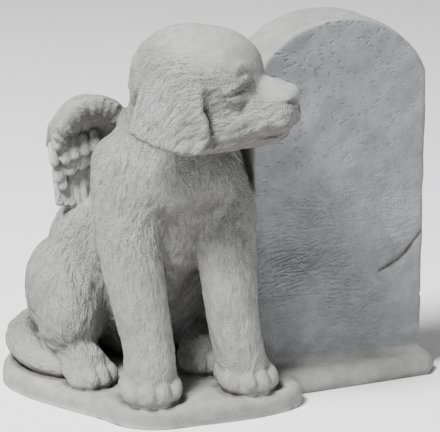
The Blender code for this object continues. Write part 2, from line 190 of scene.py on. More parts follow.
class Slab(Mass):
    """A flat outline in X and Y, thick along Z, with its edges rounded."""

    def __init__(self, outline: np.ndarray, bottom: float, top: float, edge: float) -> None:
        """Set the outline, the two levels and the radius of the edges."""
        self.outline = np.array(outline, dtype=float)
        self.bottom, self.top, self.edge = bottom, top, edge
        self.low = (*np.min(self.outline, axis=0), bottom)
        self.high = (*np.max(self.outline, axis=0), top)

    def distance(self, x: np.ndarray, y: np.ndarray, z: np.ndarray) -> np.ndarray:
        """Return the signed distances of points from the slab."""
        middle = 0.5 * (self.bottom + self.top)
        half = 0.5 * (self.top - self.bottom)
        across = outline_distance(self.outline, x, y)
        return rounded_edge(across, np.abs(z - middle) - half, self.edge)


class Flap(Mass):
    """A soft flap cut to an outline in Y and Z, lying on a bulged side surface."""

    BULGE = (51.0, 68.0, 60.0)
    CENTRE = (0.0, -4.0, -20.0)
    THICK = 7.0
    EDGE = 3.0
    SPAN = (28.0, 60.0)
    MIDLINE = 10.0
    CLEAR = 50.0

    def __init__(self, outline: np.ndarray, side: Side) -> None:
        """Set the outline and the side of the head."""
        self.outline = outline
        self.side = side.value
        low, high = np.min(outline, axis=0), np.max(outline, axis=0)
        span = sorted(self.side * x for x in self.SPAN)
        self.low = (span[0], low[0], low[1])
        self.high = (span[1], high[0], high[1])
        self.carrier = Ball(self.BULGE)

    def spot(self, y: float, z: float, under: float) -> Point:
        """Find a point of the flap.

        Args:
            y: Its place along the head.
            z: Its height.
            under: How far it lies under the flap's outer surface.

        Returns:
            The point in the head's place.
        """
        cy, cz = self.CENTRE[1:]
        reach = math.sqrt(1.0 - ((y - cy) / self.BULGE[1]) ** 2 - ((z - cz) / self.BULGE[2]) ** 2)
        return self.side * (self.BULGE[0] * reach - under), y, z

    def distance(self, x: np.ndarray, y: np.ndarray, z: np.ndarray) -> np.ndarray:
        """Return the signed distances of points from the flap."""
        cx, cy, cz = self.CENTRE
        depth = self.carrier.distance(x - cx, y - cy, z - cz)
        along = np.abs(depth + 0.5 * self.THICK) - 0.5 * self.THICK
        flap = rounded_edge(outline_distance(self.outline, y, z), along, self.EDGE)
        return np.where(x * self.side > self.MIDLINE, flap, self.CLEAR)


class Clay:
    """A block of signed distances on a regular grid, negative inside the clay."""

    def __init__(self, low: np.ndarray, high: np.ndarray, step: float) -> None:
        """Start an empty block between two corners."""
        self.low = np.array(low, dtype=float)
        self.step = step
        counts = np.ceil((np.array(high) - self.low) / step).astype(int) + 1
        self.axes = [(self.low[i] + step * np.arange(counts[i])).astype(np.float32)
                     for i in range(3)]
        self.field = np.full(counts, FAR_AWAY, dtype=np.float32)

    def window(self, place: Place, mass: Mass, margin: float) -> tuple[tuple, list[np.ndarray]]:
        """Find the part of the block round a mass.

        Args:
            place: Where the mass is drawn.
            mass: The mass.
            margin: How far round its box the window reaches.

        Returns:
            The window's slices, and its points in the place.
        """
        low, high = mass.low, mass.high
        corners = [place.out((x, y, z)) for x in (low[0], high[0])
                   for y in (low[1], high[1]) for z in (low[2], high[2])]
        first = np.min(corners, axis=0) - margin
        last = np.max(corners, axis=0) + margin
        start = np.clip(np.floor((first - self.low) / self.step).astype(int), 0, None)
        stop = np.ceil((last - self.low) / self.step).astype(int) + 1
        part = tuple(slice(a, max(a, b)) for a, b in zip(start, stop))
        grids = np.meshgrid(*[self.axes[i][part[i]] for i in range(3)], indexing="ij")
        away = [grids[i] - float(place.origin[i]) for i in range(3)]
        turn = (place.turn / place.scale).tolist()
        local = [away[0] * turn[0][i] + away[1] * turn[1][i] + away[2] * turn[2][i]
                 for i in range(3)]
        return part, local

    def meet(self, place: Place, mass: Mass, soft: float) -> tuple[tuple, np.ndarray]:
        """Measure a mass in the part of the block that its soft join can reach.

        Args:
            place: Where the mass is drawn.
            mass: The mass.
            soft: How soft the join is, in millimetres.

        Returns:
            The slices of that part, and the mass's distances there.
        """
        part, local = self.window(place, mass, 1.5 * soft + 2 * self.step)
        return part, mass.distance(*local) * place.scale

    def add(self, place: Place, mass: Mass, soft: float) -> None:
        """Lay a mass on, with a join as soft as a number of millimetres."""
        part, gap = self.meet(place, mass, soft)
        self.field[part] = soft_min(self.field[part], gap, soft)

    def cut(self, place: Place, mass: Mass, soft: float) -> None:
        """Take a mass away, with an edge as soft as a number of millimetres."""
        part, gap = self.meet(place, mass, soft)
        self.field[part] = -soft_min(-self.field[part], gap, soft)

    def read(self, points: np.ndarray) -> np.ndarray:
        """Return the block's distances at points, one a row."""
        return read_grid(self.field, self.low, self.step, points)


def soft_min(one: np.ndarray, two: np.ndarray, soft: float) -> np.ndarray:
    """Join two sets of distances.

    Args:
        one: Signed distances.
        two: Signed distances at the same points.
        soft: The range over which the join is rounded.

    Returns:
        The lower of the two, rounded where they are nearly equal.
    """
    share = np.clip(0.5 + 0.5 * (two - one) / soft, 0.0, 1.0)
    return two + (one - two) * share - soft * share * (1.0 - share)


def rounded_edge(across: np.ndarray, along: np.ndarray, edge: float) -> np.ndarray:
    """Join the distances from an outline and from two flat faces, with rounded edges.

    Args:
        across: Distances from the outline.
        along: Distances from the faces.
        edge: The radius of the edges.

    Returns:
        Signed distances from the slab between them.
    """
    across, along = across + edge, along + edge
    outside = np.sqrt(np.maximum(across, 0.0) ** 2 + np.maximum(along, 0.0) ** 2)
    return outside + np.minimum(np.maximum(across, along), 0.0) - edge


def cell_corners(part: np.ndarray) -> Iterator[tuple[np.ndarray, np.ndarray]]:
    """Go round the corners of grid cells.

    Args:
        part: How far across its cell each point lies, from 0 to 1 on each axis.

    Yields:
        A corner's offset from the cell's first corner, and its weight at each point.
    """
    for corner in range(8):
        offset = np.array([corner >> 2 & 1, corner >> 1 & 1, corner & 1])
        yield offset, np.prod(np.where(offset, part, 1.0 - part), axis=1)


def read_grid(grid: np.ndarray, low: np.ndarray, step: float, points: np.ndarray) -> np.ndarray:
    """Read a grid between its points.

    Args:
        grid: The values.
        low: The place of the first value.
        step: The spacing.
        points: Where to read, one a row.

    Returns:
        One value a point.
    """
    spot = (points - low) / step
    cell = np.clip(np.floor(spot).astype(np.int64), 0, np.array(grid.shape) - 2)
    part = np.clip(spot - cell, 0.0, 1.0)
    total = np.zeros(len(points))
    for offset, weight in cell_corners(part):
        index = cell + offset
        total += weight * grid[index[:, 0], index[:, 1], index[:, 2]]
    return total


def outline_distance(outline: np.ndarray, x: np.ndarray, y: np.ndarray) -> np.ndarray:
    """Measure how far points are from a closed outline.

    Args:
        outline: The outline's corners in order, one a row.
        x: The points' first coordinate.
        y: Their second.

    Returns:
        Signed distances, negative inside.
    """
    nearest = np.full(x.shape, FAR_AWAY**2, dtype=x.dtype)
    inside = np.zeros(nearest.shape, dtype=bool)
    for a, b in zip(outline.tolist(), np.roll(outline, -1, axis=0).tolist()):
        run = (b[0] - a[0], b[1] - a[1])
        length = max(run[0] ** 2 + run[1] ** 2, 1e-9)
        share = np.clip(((x - a[0]) * run[0] + (y - a[1]) * run[1]) / length, 0.0, 1.0)
        gap = (x - a[0] - share * run[0]) ** 2 + (y - a[1] - share * run[1]) ** 2
        nearest = np.minimum(nearest, gap)
        if a[1] != b[1]:
            crosses = (y < a[1]) != (y < b[1])
            inside ^= crosses & (x < a[0] + (y - a[1]) * (run[0] / run[1]))
    return np.where(inside, -1.0, 1.0).astype(x.dtype) * np.sqrt(nearest)


def spline(p0: np.ndarray, p1: np.ndarray, p2: np.ndarray, p3: np.ndarray, t: float) -> np.ndarray:
    """Find a point of a smooth curve through four points.

    Args:
        p0: The point before the stretch.
        p1: The stretch's start.
        p2: Its end.
        p3: The point after it.
        t: How far along the stretch, from 0 to 1.

    Returns:
        The point.
    """
    return 0.5 * (2.0 * p1 + (p2 - p0) * t
                  + (2.0 * p0 - 5.0 * p1 + 4.0 * p2 - p3) * t**2
                  + (3.0 * p1 - p0 - 3.0 * p2 + p3) * t**3)


def smooth_outline(points: Sequence[tuple[float, float]], steps: int = 6) -> np.ndarray:
    """Return a closed curve through points, with a number of steps between each two."""
    rows = np.array(points, dtype=float)
    before, after, beyond = (np.roll(rows, k, axis=0) for k in (1, -1, -2))
    curve = [spline(before, rows, after, beyond, t) for t in np.arange(steps) / steps]
    return np.stack(curve, axis=1).reshape(-1, 2)


def smooth_route(stations: Route, steps: int = 5) -> list[Station]:
    """Return an open curve through stations, with a number of steps between each two."""
    rows = np.array(stations, dtype=float)
    ends = np.vstack([2 * rows[0] - rows[1], rows, 2 * rows[-1] - rows[-2]])
    curve = []
    for i in range(len(rows) - 1):
        curve += [tuple(spline(*ends[i:i + 4], t)) for t in np.arange(steps) / steps]
    curve.append(tuple(rows[-1]))
    return curve


def mirror(route: Route, side: Side) -> list[Station]:
    """Return a route drawn at +X, on either side."""
    return [(side.value * x, y, z, radius) for x, y, z, radius in route]


def mirrored_curve(route: Route, side: Side) -> list[Station]:
    """Return the smooth curve through a route drawn at +X, on either side."""
    return smooth_route(mirror(route, side))


def ease(value: np.ndarray, low: float, high: float) -> np.ndarray:
    """Return 0 below low and 1 above high, with a smooth rise between."""
    share = np.clip((value - low) / (high - low), 0.0, 1.0)
    return share * share * (3.0 - 2.0 * share)


@dataclass(frozen=True)
class Lump:
    """An egg-shaped lump: its centre, radii, the softness of its join and its turns."""

    centre: Point
    radii: Point
    soft: float
    turns: Point = (0.0, 0.0, 0.0)

    def on(self, side: Side) -> "Lump":
        """Return a lump that is drawn at +X, on either side."""
        x, y, z = self.centre
        return Lump((side.value * x, y, z), self.radii, self.soft, self.turns)

    def lay(self, clay: Clay, place: Place) -> None:
        """Lay the lump on the block."""
        clay.add(place.at(self.centre, self.turns), Ball(self.radii), self.soft)

    def cut(self, clay: Clay, place: Place) -> None:
        """Take the lump away from the block."""
        clay.cut(place.at(self.centre, self.turns), Ball(self.radii), self.soft)


@dataclass
class Grit:
    """Smooth random values in space, the same on every run."""

    seed: int
    size: int = 8192

    def __post_init__(self) -> None:
        """Draw the table of random values."""
        self.table = np.random.default_rng(self.seed).uniform(-1.0, 1.0, self.size)

    def at(self, points: np.ndarray, cell: float) -> np.ndarray:
        """Return values of about -1 to 1 at points, varying over cells of a size."""
        spot = points / cell
        first = np.floor(spot)
        part = spot - first
        part = part * part * (3.0 - 2.0 * part)
        first = first.astype(np.int64)
        total = np.zeros(len(points))
        for offset, weight in cell_corners(part):
            key = (first + offset) * np.array(HASH_KEYS)
            total += weight * self.table[(key[:, 0] ^ key[:, 1] ^ key[:, 2]) % self.size]
        return total

    def strokes(self, points: np.ndarray, flow: np.ndarray, cell: float, reach: float) -> np.ndarray:
        """Make values that run in strokes.

        Args:
            points: Where the values are wanted.
            flow: The direction of the strokes there, as unit vectors.
            cell: The width of a stroke.
            reach: Its length.

        Returns:
            Values with a spread of about 1.
        """
        taps = np.linspace(-0.5, 0.5, 7) * reach
        total = sum(self.at(points + tap * flow, cell) for tap in taps)
        return total / max(float(np.std(total)), 1e-9)


@dataclass
class Headstone:
    """The arched slab and its plinth, drawn from the foot of its near front corner."""

    width: float = 151.0
    height: float = 290.0
    thick: float = 59.0
    rise: float = 42.0
    shoulder: float = 12.0
    edge: float = 3.5
    ledge_front: float = 24.0
    ledge_side: float = 10.0
    ledge_back: float = 14.0
    arch_steps: int = 28
    nose: float = 12.0
    cove: float = 7.0
    crack: tuple = ((153, 109, 1.0), (148, 104, 1.0), (142, 97, 1.2), (136, 89, 1.7), (128, 82, 1.9),
                    (119, 77, 1.4), (111, 74, 0.6))
    notch: Lump = Lump((152.0, 0.0, 49.0), (3.0, 4.0, 2.2), 1.5)
    slanting_from: tuple = (120.0, 190.0)
    pitted_from: tuple = (95.0, 165.0)
    calm_from: tuple = (108.0, 142.0)
    patch: tuple = (30.0, 86.0, 20.0, 14.0)

    def outline(self, base: float) -> np.ndarray:
        """Return the slab's front: straight sides under a low arch."""
        half = 0.5 * self.width
        top = self.height + base
        radius = (half**2 + self.rise**2) / (2.0 * self.rise)
        reach = math.asin(half / radius)
        rows = [(-half, 0.0), (half, 0.0)]
        for i in range(self.arch_steps + 1):
            angle = reach - 2.0 * reach * i / self.arch_steps
            drop = 0.5 * self.shoulder * (abs(angle) / reach) ** 8
            rows.append((radius * math.sin(angle), top - radius + radius * math.cos(angle) - drop))
        return np.array(rows)

    def lay(self, clay: Clay, corner: Place, base: float) -> None:
        """Lay the slab and its round-nosed plinth on the block.

        Args:
            clay: The block.
            corner: The foot of the slab's near front corner.
            base: How thick the base is.
        """
        upright = corner.at((0.5 * self.width, 0.5 * self.thick, -base), (90.0, 0.0, 0.0))
        half = 0.5 * self.thick
        clay.add(upright, Slab(self.outline(base), -half, half, self.edge), 1.0)
        front, side, back = self.ledge_front, self.ledge_side, self.ledge_back
        plinth = [(0.0, -front - 4.0), (0.5 * self.width, -front), (self.width, -front + 5.0),
                  (self.width + side, -0.3 * front), (self.width + side, self.thick + 0.5 * back),
                  (self.width, self.thick + back), (0.0, self.thick + back)]
        clay.add(corner, Slab(plinth, -2.0 * self.nose, 0.0, self.nose), self.cove)
        clay.cut(corner, Rod(self.crack_route(), (1.0, 1.5, 1.0)), 1.2)
        self.notch.cut(clay, corner)

    def crack_route(self) -> list[Station]:
        """Return the stations of the crack in the front face."""
        return [(across, 0.0, height, radius) for across, height, radius in self.crack]

    def face_mask(self, corner: Place, points: np.ndarray, normals: np.ndarray) -> np.ndarray:
        """Find the slab's front face.

        Args:
            corner: The foot of the slab's near front corner.
            points: Points of the skin.
            normals: The skin's normals there.

        Returns:
            1 on the front face and 0 elsewhere.
        """
        local = corner.into(points)
        on_face = ease(-normals[:, 1], 0.75, 0.95) * (1.0 - ease(np.abs(local[:, 1]), 2.0, 4.0))
        inside = ease(local[:, 0], -1.0, 1.0) * ease(local[:, 2], 2.0, 9.0)
        return on_face * inside

    def flow(self, corner: Place, points: np.ndarray, grit: Grit) -> np.ndarray:
        """Find the direction that the tool marks run in: slanting above, level below.

        Args:
            corner: The foot of the slab's near front corner.
            points: Points of the skin.
            grit: The random values.

        Returns:
            One unit vector a point.
        """
        local = corner.into(points)
        upper = ease(local[:, 2] + 14.0 * grit.at(points, 40.0), *self.slanting_from)
        wander = 0.45 * grit.at(points, 24.0) + 0.3 * grit.at(points + 500.0, 9.0)
        angle = upper * -0.55 + (1.0 - upper) * 0.16 + wander
        return np.stack([np.cos(angle), 0.0 * angle, np.sin(angle)], axis=1)

    def worked(self, corner: Place, points: np.ndarray, grit: Grit) -> tuple[np.ndarray, np.ndarray]:
        """Find how the face is worked: pitted above, chiselled below, calmer at the far edge.

        Args:
            corner: The foot of the slab's near front corner.
            points: Points of the skin.
            grit: The random values.

        Returns:
            How strongly the face is pitted, and how strongly it is chiselled.
        """
        local = corner.into(points)
        upper = local[:, 2] - 0.35 * local[:, 0] + 16.0 * grit.at(points, 40.0)
        upper = ease(upper, *self.pitted_from)
        smooth = ease(local[:, 0] + 9.0 * grit.at(points + 900.0, 30.0), *self.calm_from)
        across, height, wide, tall = self.patch
        patch = np.exp(-((local[:, 0] - across) / wide) ** 2 - ((local[:, 2] - height) / tall) ** 2)
        ragged = 0.75 + 0.5 * grit.at(points + 40.0, 26.0)
        pits = upper * (1.0 - 0.6 * smooth) * ragged
        return pits, (1.0 - upper) * (1.0 - 0.7 * smooth) * ragged + 0.9 * patch

    def tool_marks(self, corner: Place, points: np.ndarray, flow: np.ndarray,
                   grit: Grit) -> np.ndarray:
        """Shape the tool marks: pits above, chisel strokes below.

        Args:
            corner: The foot of the slab's near front corner.
            points: Points of the skin.
            flow: The direction of the marks there.
            grit: The random values.

        Returns:
            How far each point is raised, in millimetres.
        """
        pits, chisel = self.worked(corner, points, grit)
        ticks = grit.strokes(points, flow, 2.5, 3.2)
        strokes = grit.strokes(points + 700.0, flow, 2.6, 7.0)
        height = pits * (-0.95 * ease(-ticks, -0.6, 1.9) + 0.5 * grit.at(points + 60.0, 7.0))
        return height + chisel * (0.34 * strokes + 0.35 * grit.at(points + 60.0, 11.0))


@dataclass
class Base:
    """The low uneven base under the puppy."""

    thick: float = 17.0
    edge: float = 8.0
    rim: tuple = ((-127, 58), (-121, 24), (-100, -14), (-76, -50), (-62, -75), (-38, -90),
                  (0, -92), (40, -92), (74, -85), (90, -72), (91, -52), (84, 20), (78, 82),
                  (40, 110), (-20, 118), (-76, 112), (-112, 92))

    def lay(self, clay: Clay, figure: Place) -> None:
        """Lay the base on the block, with its top at height 0."""
        under = -2.0 * self.thick / figure.scale
        slab = Slab(smooth_outline(self.rim), under, 0.0, self.edge / figure.scale)
        clay.add(figure, slab, 3.0)


@dataclass
class Torso:
    """Rib cage, chest, belly, rump and neck."""

    spine: tuple = ((2, 22, 190, 38), (1, 16, 158, 48), (0, 28, 112, 54), (-5, 46, 68, 56),
                    (-6, 56, 46, 52))
    chest: Lump = Lump((2, -22, 164), (45, 31, 35), 8.0)
    brisket: tuple = ((6, -20, 138, 25), (1, -16, 106, 21), (-8, -8, 72, 14))
    flanks: tuple = (Lump((-50, 44, 98), (38, 34, 48), 14.0), Lump((58, 26, 92), (17, 26, 92), 8.0))
    neck: tuple = ((0, 6, 182, 42), (-1, -10, 212, 35.5), (-2, -26, 236, 34))
    ruff: tuple = ((-26, -51, 137, 3), (-8, -56, 141, 4.5), (12, -55, 142, 4.5), (30, -49, 141, 3))
    throat: tuple = ((66, -32, 228, 42), (62, -34, 206, 31))

    def lay(self, clay: Clay, figure: Place) -> None:
        """Lay the body on the block."""
        clay.add(figure, Rod(smooth_route(self.spine, 3)), 10.0)
        self.chest.lay(clay, figure)
        clay.add(figure, Rod(self.brisket), 9.0)
        for flank in self.flanks:
            flank.lay(clay, figure)
        clay.add(figure, Rod(self.neck), 12.0)
        clay.cut(figure, Rod(smooth_route(self.ruff)), 6.5)
        clay.cut(figure, Rod(self.throat), 6.0)


@dataclass
class Paw:
    """A paw with four toes. Its place is under the wrist, and the toes point to -Y."""

    size: float
    toes: tuple = ((-16.0, -9, 8.4), (-5.6, -14.5, 9.6), (5.6, -14.5, 9.6), (16.0, -9, 8.4))
    slits: tuple = ((-10.8, -22.5, 9.5), (0.6, -26.0, 6.5))

    def lay(self, clay: Clay, place: Place) -> None:
        """Lay the paw on the block, with its toes parted."""
        size = self.size
        clay.add(place.at((0, 4, 11 * size)), Ball((22 * size, 17 * size, 13 * size)), 4.0)
        for across, ahead, plump in self.toes:
            toe = place.at((across * size, ahead * size, 8.5 * size), (14, 0, -0.8 * across))
            clay.add(toe, Ball((0.77 * plump * size, 12 * size, plump * size)), 1.6)
            knuckle = place.at((0.85 * across * size, (ahead + 8) * size, 13.5 * size), (-24, 0, 0))
            clay.add(knuckle, Ball((0.62 * plump * size, 10 * size, 7.5 * size)), 1.6)
        clay.add(place.at((0, -7 * size, 4 * size)), Ball((20 * size, 17 * size, 7 * size)), 2.0)
        for across, ahead, height in self.slits:
            slit = [(across * size, ahead * size, height * size, 0.9),
                    (across * size, (ahead - 0.6) * size, (height - 5.5) * size, 0.7)]
            clay.cut(place, Rod(slit), 0.8)


@dataclass
class Foreleg:
    """Shoulder, upper arm, forearm and paw of one side."""

    side: Side

    BONES = {
        Side.RIGHT: ((-36, 6, 176, 26), (-41, -14, 142, 26), (-42, -34, 108, 25),
                     (-40, -50, 74, 22), (-36, -57, 42, 20.5), (-36, -61, 18, 21)),
        Side.LEFT: ((40, 6, 176, 26), (44, -14, 142, 25), (39, -34, 108, 24),
                    (36, -50, 74, 22), (38, -57, 42, 20.5), (42, -61, 18, 21))}
    ELBOWS = {Side.RIGHT: Lump((-45, -8, 116), (18, 22, 24), 10.0),
              Side.LEFT: Lump((46, -8, 116), (18, 22, 24), 10.0)}
    WRISTS = {Side.RIGHT: (-37, -61, 0), Side.LEFT: (44, -61, 0)}

    def lay(self, clay: Clay, figure: Place) -> None:
        """Lay the leg on the block."""
        clay.add(figure, Rod(smooth_route(self.BONES[self.side], 3)), 9.0)
        self.ELBOWS[self.side].lay(clay, figure)
        Paw(1.1).lay(clay, figure.at(self.WRISTS[self.side], (0, 0, 4 * self.side.value)))


@dataclass
class HindLeg:
    """Haunch, hind foot and toes of one side, the far one tucked in by the stone."""

    side: Side

    THIGHS = {Side.RIGHT: -73, Side.LEFT: 56}
    FEET = {Side.RIGHT: -72, Side.LEFT: 26}

    def lay(self, clay: Clay, figure: Place) -> None:
        """Lay the leg on the block."""
        side = self.side.value
        thigh_x, foot_x = self.THIGHS[self.side], self.FEET[self.side]
        Lump((thigh_x, 48, 58), (34, 45, 50), 6.0, (0, 8 * side, 0)).lay(clay, figure)
        Lump((thigh_x + 6 * side, 18, 46), (26, 26, 34), 8.0).lay(clay, figure)
        foot = [(foot_x + 13 * side, 40, 16, 16), (foot_x + 5 * side, 14, 19, 18),
                (foot_x, -8, 14, 16)]
        clay.add(figure, Rod(foot), 5.0)
        Paw(0.95).lay(clay, figure.at((foot_x, -10, 0), (0, 0, -8 * side)))


@dataclass
class Tail:
    """The tail, lying on the base round the near haunch."""

    route: tuple = ((-6, 94, 24, 18), (-50, 100, 21, 17), (-88, 90, 19, 16), (-106, 70, 17, 15),
                    (-107, 44, 14, 13), (-100, 24, 10, 10.5), (-90, 8, 7, 6.5))

    def lay(self, clay: Clay, figure: Place) -> None:
        """Lay the tail on the block."""
        clay.add(figure, Rod(smooth_route(self.route)), 3.5)


@dataclass(frozen=True)
class FeatherRow:
    """A row of feathers that overlaps the next: their tips (across, height) and sizes."""

    tips: tuple
    depth: float
    long: float
    half: float
    hub: tuple = (62.0, -300.0)
    flat: float = 0.6
    proud: float = 11.0
    soft: float = 0.8
    sink: float = 5.0


@dataclass
class Wing:
    """A small feathered wing on one shoulder: a rolled top edge over rows of feathers."""

    side: Side
    roll: tuple = ((24, -6, 200, 8), (31, -9, 211, 7.5), (38, -11, 218, 7), (48, -12, 222, 7),
                   (58, -11.5, 222, 7), (68, -10, 217.5, 7), (75, -8, 209, 7), (80, -6, 200, 6),
                   (82, -4, 191, 4))
    rows: tuple = (
        FeatherRow(((60, 139), (65.3, 137.3), (70.6, 136.2), (75.9, 136.3), (81, 138)),
                   -9.0, 30.0, 3.0, flat=0.8, proud=16.0, soft=0.4),
        FeatherRow(((52, 168.5), (61, 165), (70.5, 161.5), (80, 158)), -7.5, 22.0, 5.1),
        FeatherRow(((50, 180), (58.5, 177.5), (67, 175), (75.5, 172)), -9.5, 16.0, 4.7),
        FeatherRow(((78, 150.5), (82, 157.5), (85, 171), (82, 185)), -9.5, 18.0, 4.0),
        FeatherRow(((47, 152), (57, 149), (67, 147), (76, 149)), 9.5, 30.0, 5.4, proud=-9.0, sink=-5.0),
        FeatherRow(((44, 178), (54, 174), (64, 172.5), (74, 175), (81, 181)), 13.0, 24.0, 5.4,
                   proud=-9.0, sink=-5.0))
    shield: Lump = Lump((55, 3, 196), (30, 13, 31), 6.0)
    hollow: Lump = Lump((56, -10, 197), (23, 13, 23), 3.0)
    webs: tuple = (Lump((60, 3, 168), (24, 6.5, 27), 3.0, (-8, 0, 0)),
                   Lump((67, 1, 160), (15.5, 4.5, 27), 3.0, (-14, 0, 0)),
                   Lump((61, 0, 181), (24, 7.5, 13), 6.0, (-22, 0, 0)))
    far_fill: Lump = Lump((70, -2, 184), (18, 9, 38), 3.0)
    tufts: int = 11
    tuft_start: float = 0.14
    tuft_run: float = 0.80
    tuft_hub: tuple = (57.0, 178.0)

    def spot(self, across: float, depth: float, height: float) -> Point:
        """Return a point of the wing, counted outwards from the puppy's midline."""
        return across * self.side.value, depth, height

    def lay(self, clay: Clay, figure: Place) -> None:
        """Lay the wing on the block."""
        wing = figure.at((0, 42, 0))
        self.shield.on(self.side).lay(clay, wing)
        self.hollow.on(self.side).cut(clay, wing)
        clay.add(wing, Rod(mirrored_curve(self.roll, self.side)), 2.5)
        for web in self.webs:
            web.on(self.side).lay(clay, wing)
        for row in self.rows:
            self.lay_row(clay, wing, row)
        self.lay_tufts(clay, wing)
        if self.side is Side.LEFT:
            self.far_fill.on(self.side).lay(clay, wing)

    def lay_tufts(self, clay: Clay, wing: Place) -> None:
        """Lay the short ragged feathers that hang from the roll over the hollow."""
        route = np.array(smooth_route(self.roll))
        for i in range(self.tufts):
            share = self.tuft_start + self.tuft_run * i / (self.tufts - 1)
            across, depth, height, radius = route[round(share * (len(route) - 1))]
            out = np.array((across - self.tuft_hub[0], height - self.tuft_hub[1]))
            out /= np.linalg.norm(out)
            reach = radius + (0.6 if i % 2 else 2.4)
            tip = self.spot(across - reach * out[0], depth - 4.2, height - reach * out[1])
            lean = math.degrees(math.atan2(out[0], out[1])) * self.side.value
            tuft = Rod([(0, 0, 12, 1.8), (0, 0, 6, 3.4), (0, 0, 2.2, 2.2)], (1.0, 0.8, 1.0))
            clay.add(wing.at(tip, (8, lean, 0)), tuft, 0.8)

    def lay_row(self, clay: Clay, wing: Place, row: FeatherRow) -> None:
        """Lay a row of feathers that fan out from its hub, each tip a little proud."""
        vane = Rod([(0, row.sink, row.long, 0.8 * row.half),
                    (0, 0.2 * row.sink, 0.5 * row.long, row.half),
                    (0, 0, row.half, row.half)], (1.0, row.flat, 1.0))
        for across, height in row.tips:
            lean = math.degrees(math.atan2(across - row.hub[0], height - row.hub[1]))
            feather = wing.at(self.spot(across, row.depth, height),
                              (-row.proud, lean * self.side.value, 0))
            clay.add(feather, vane, row.soft)


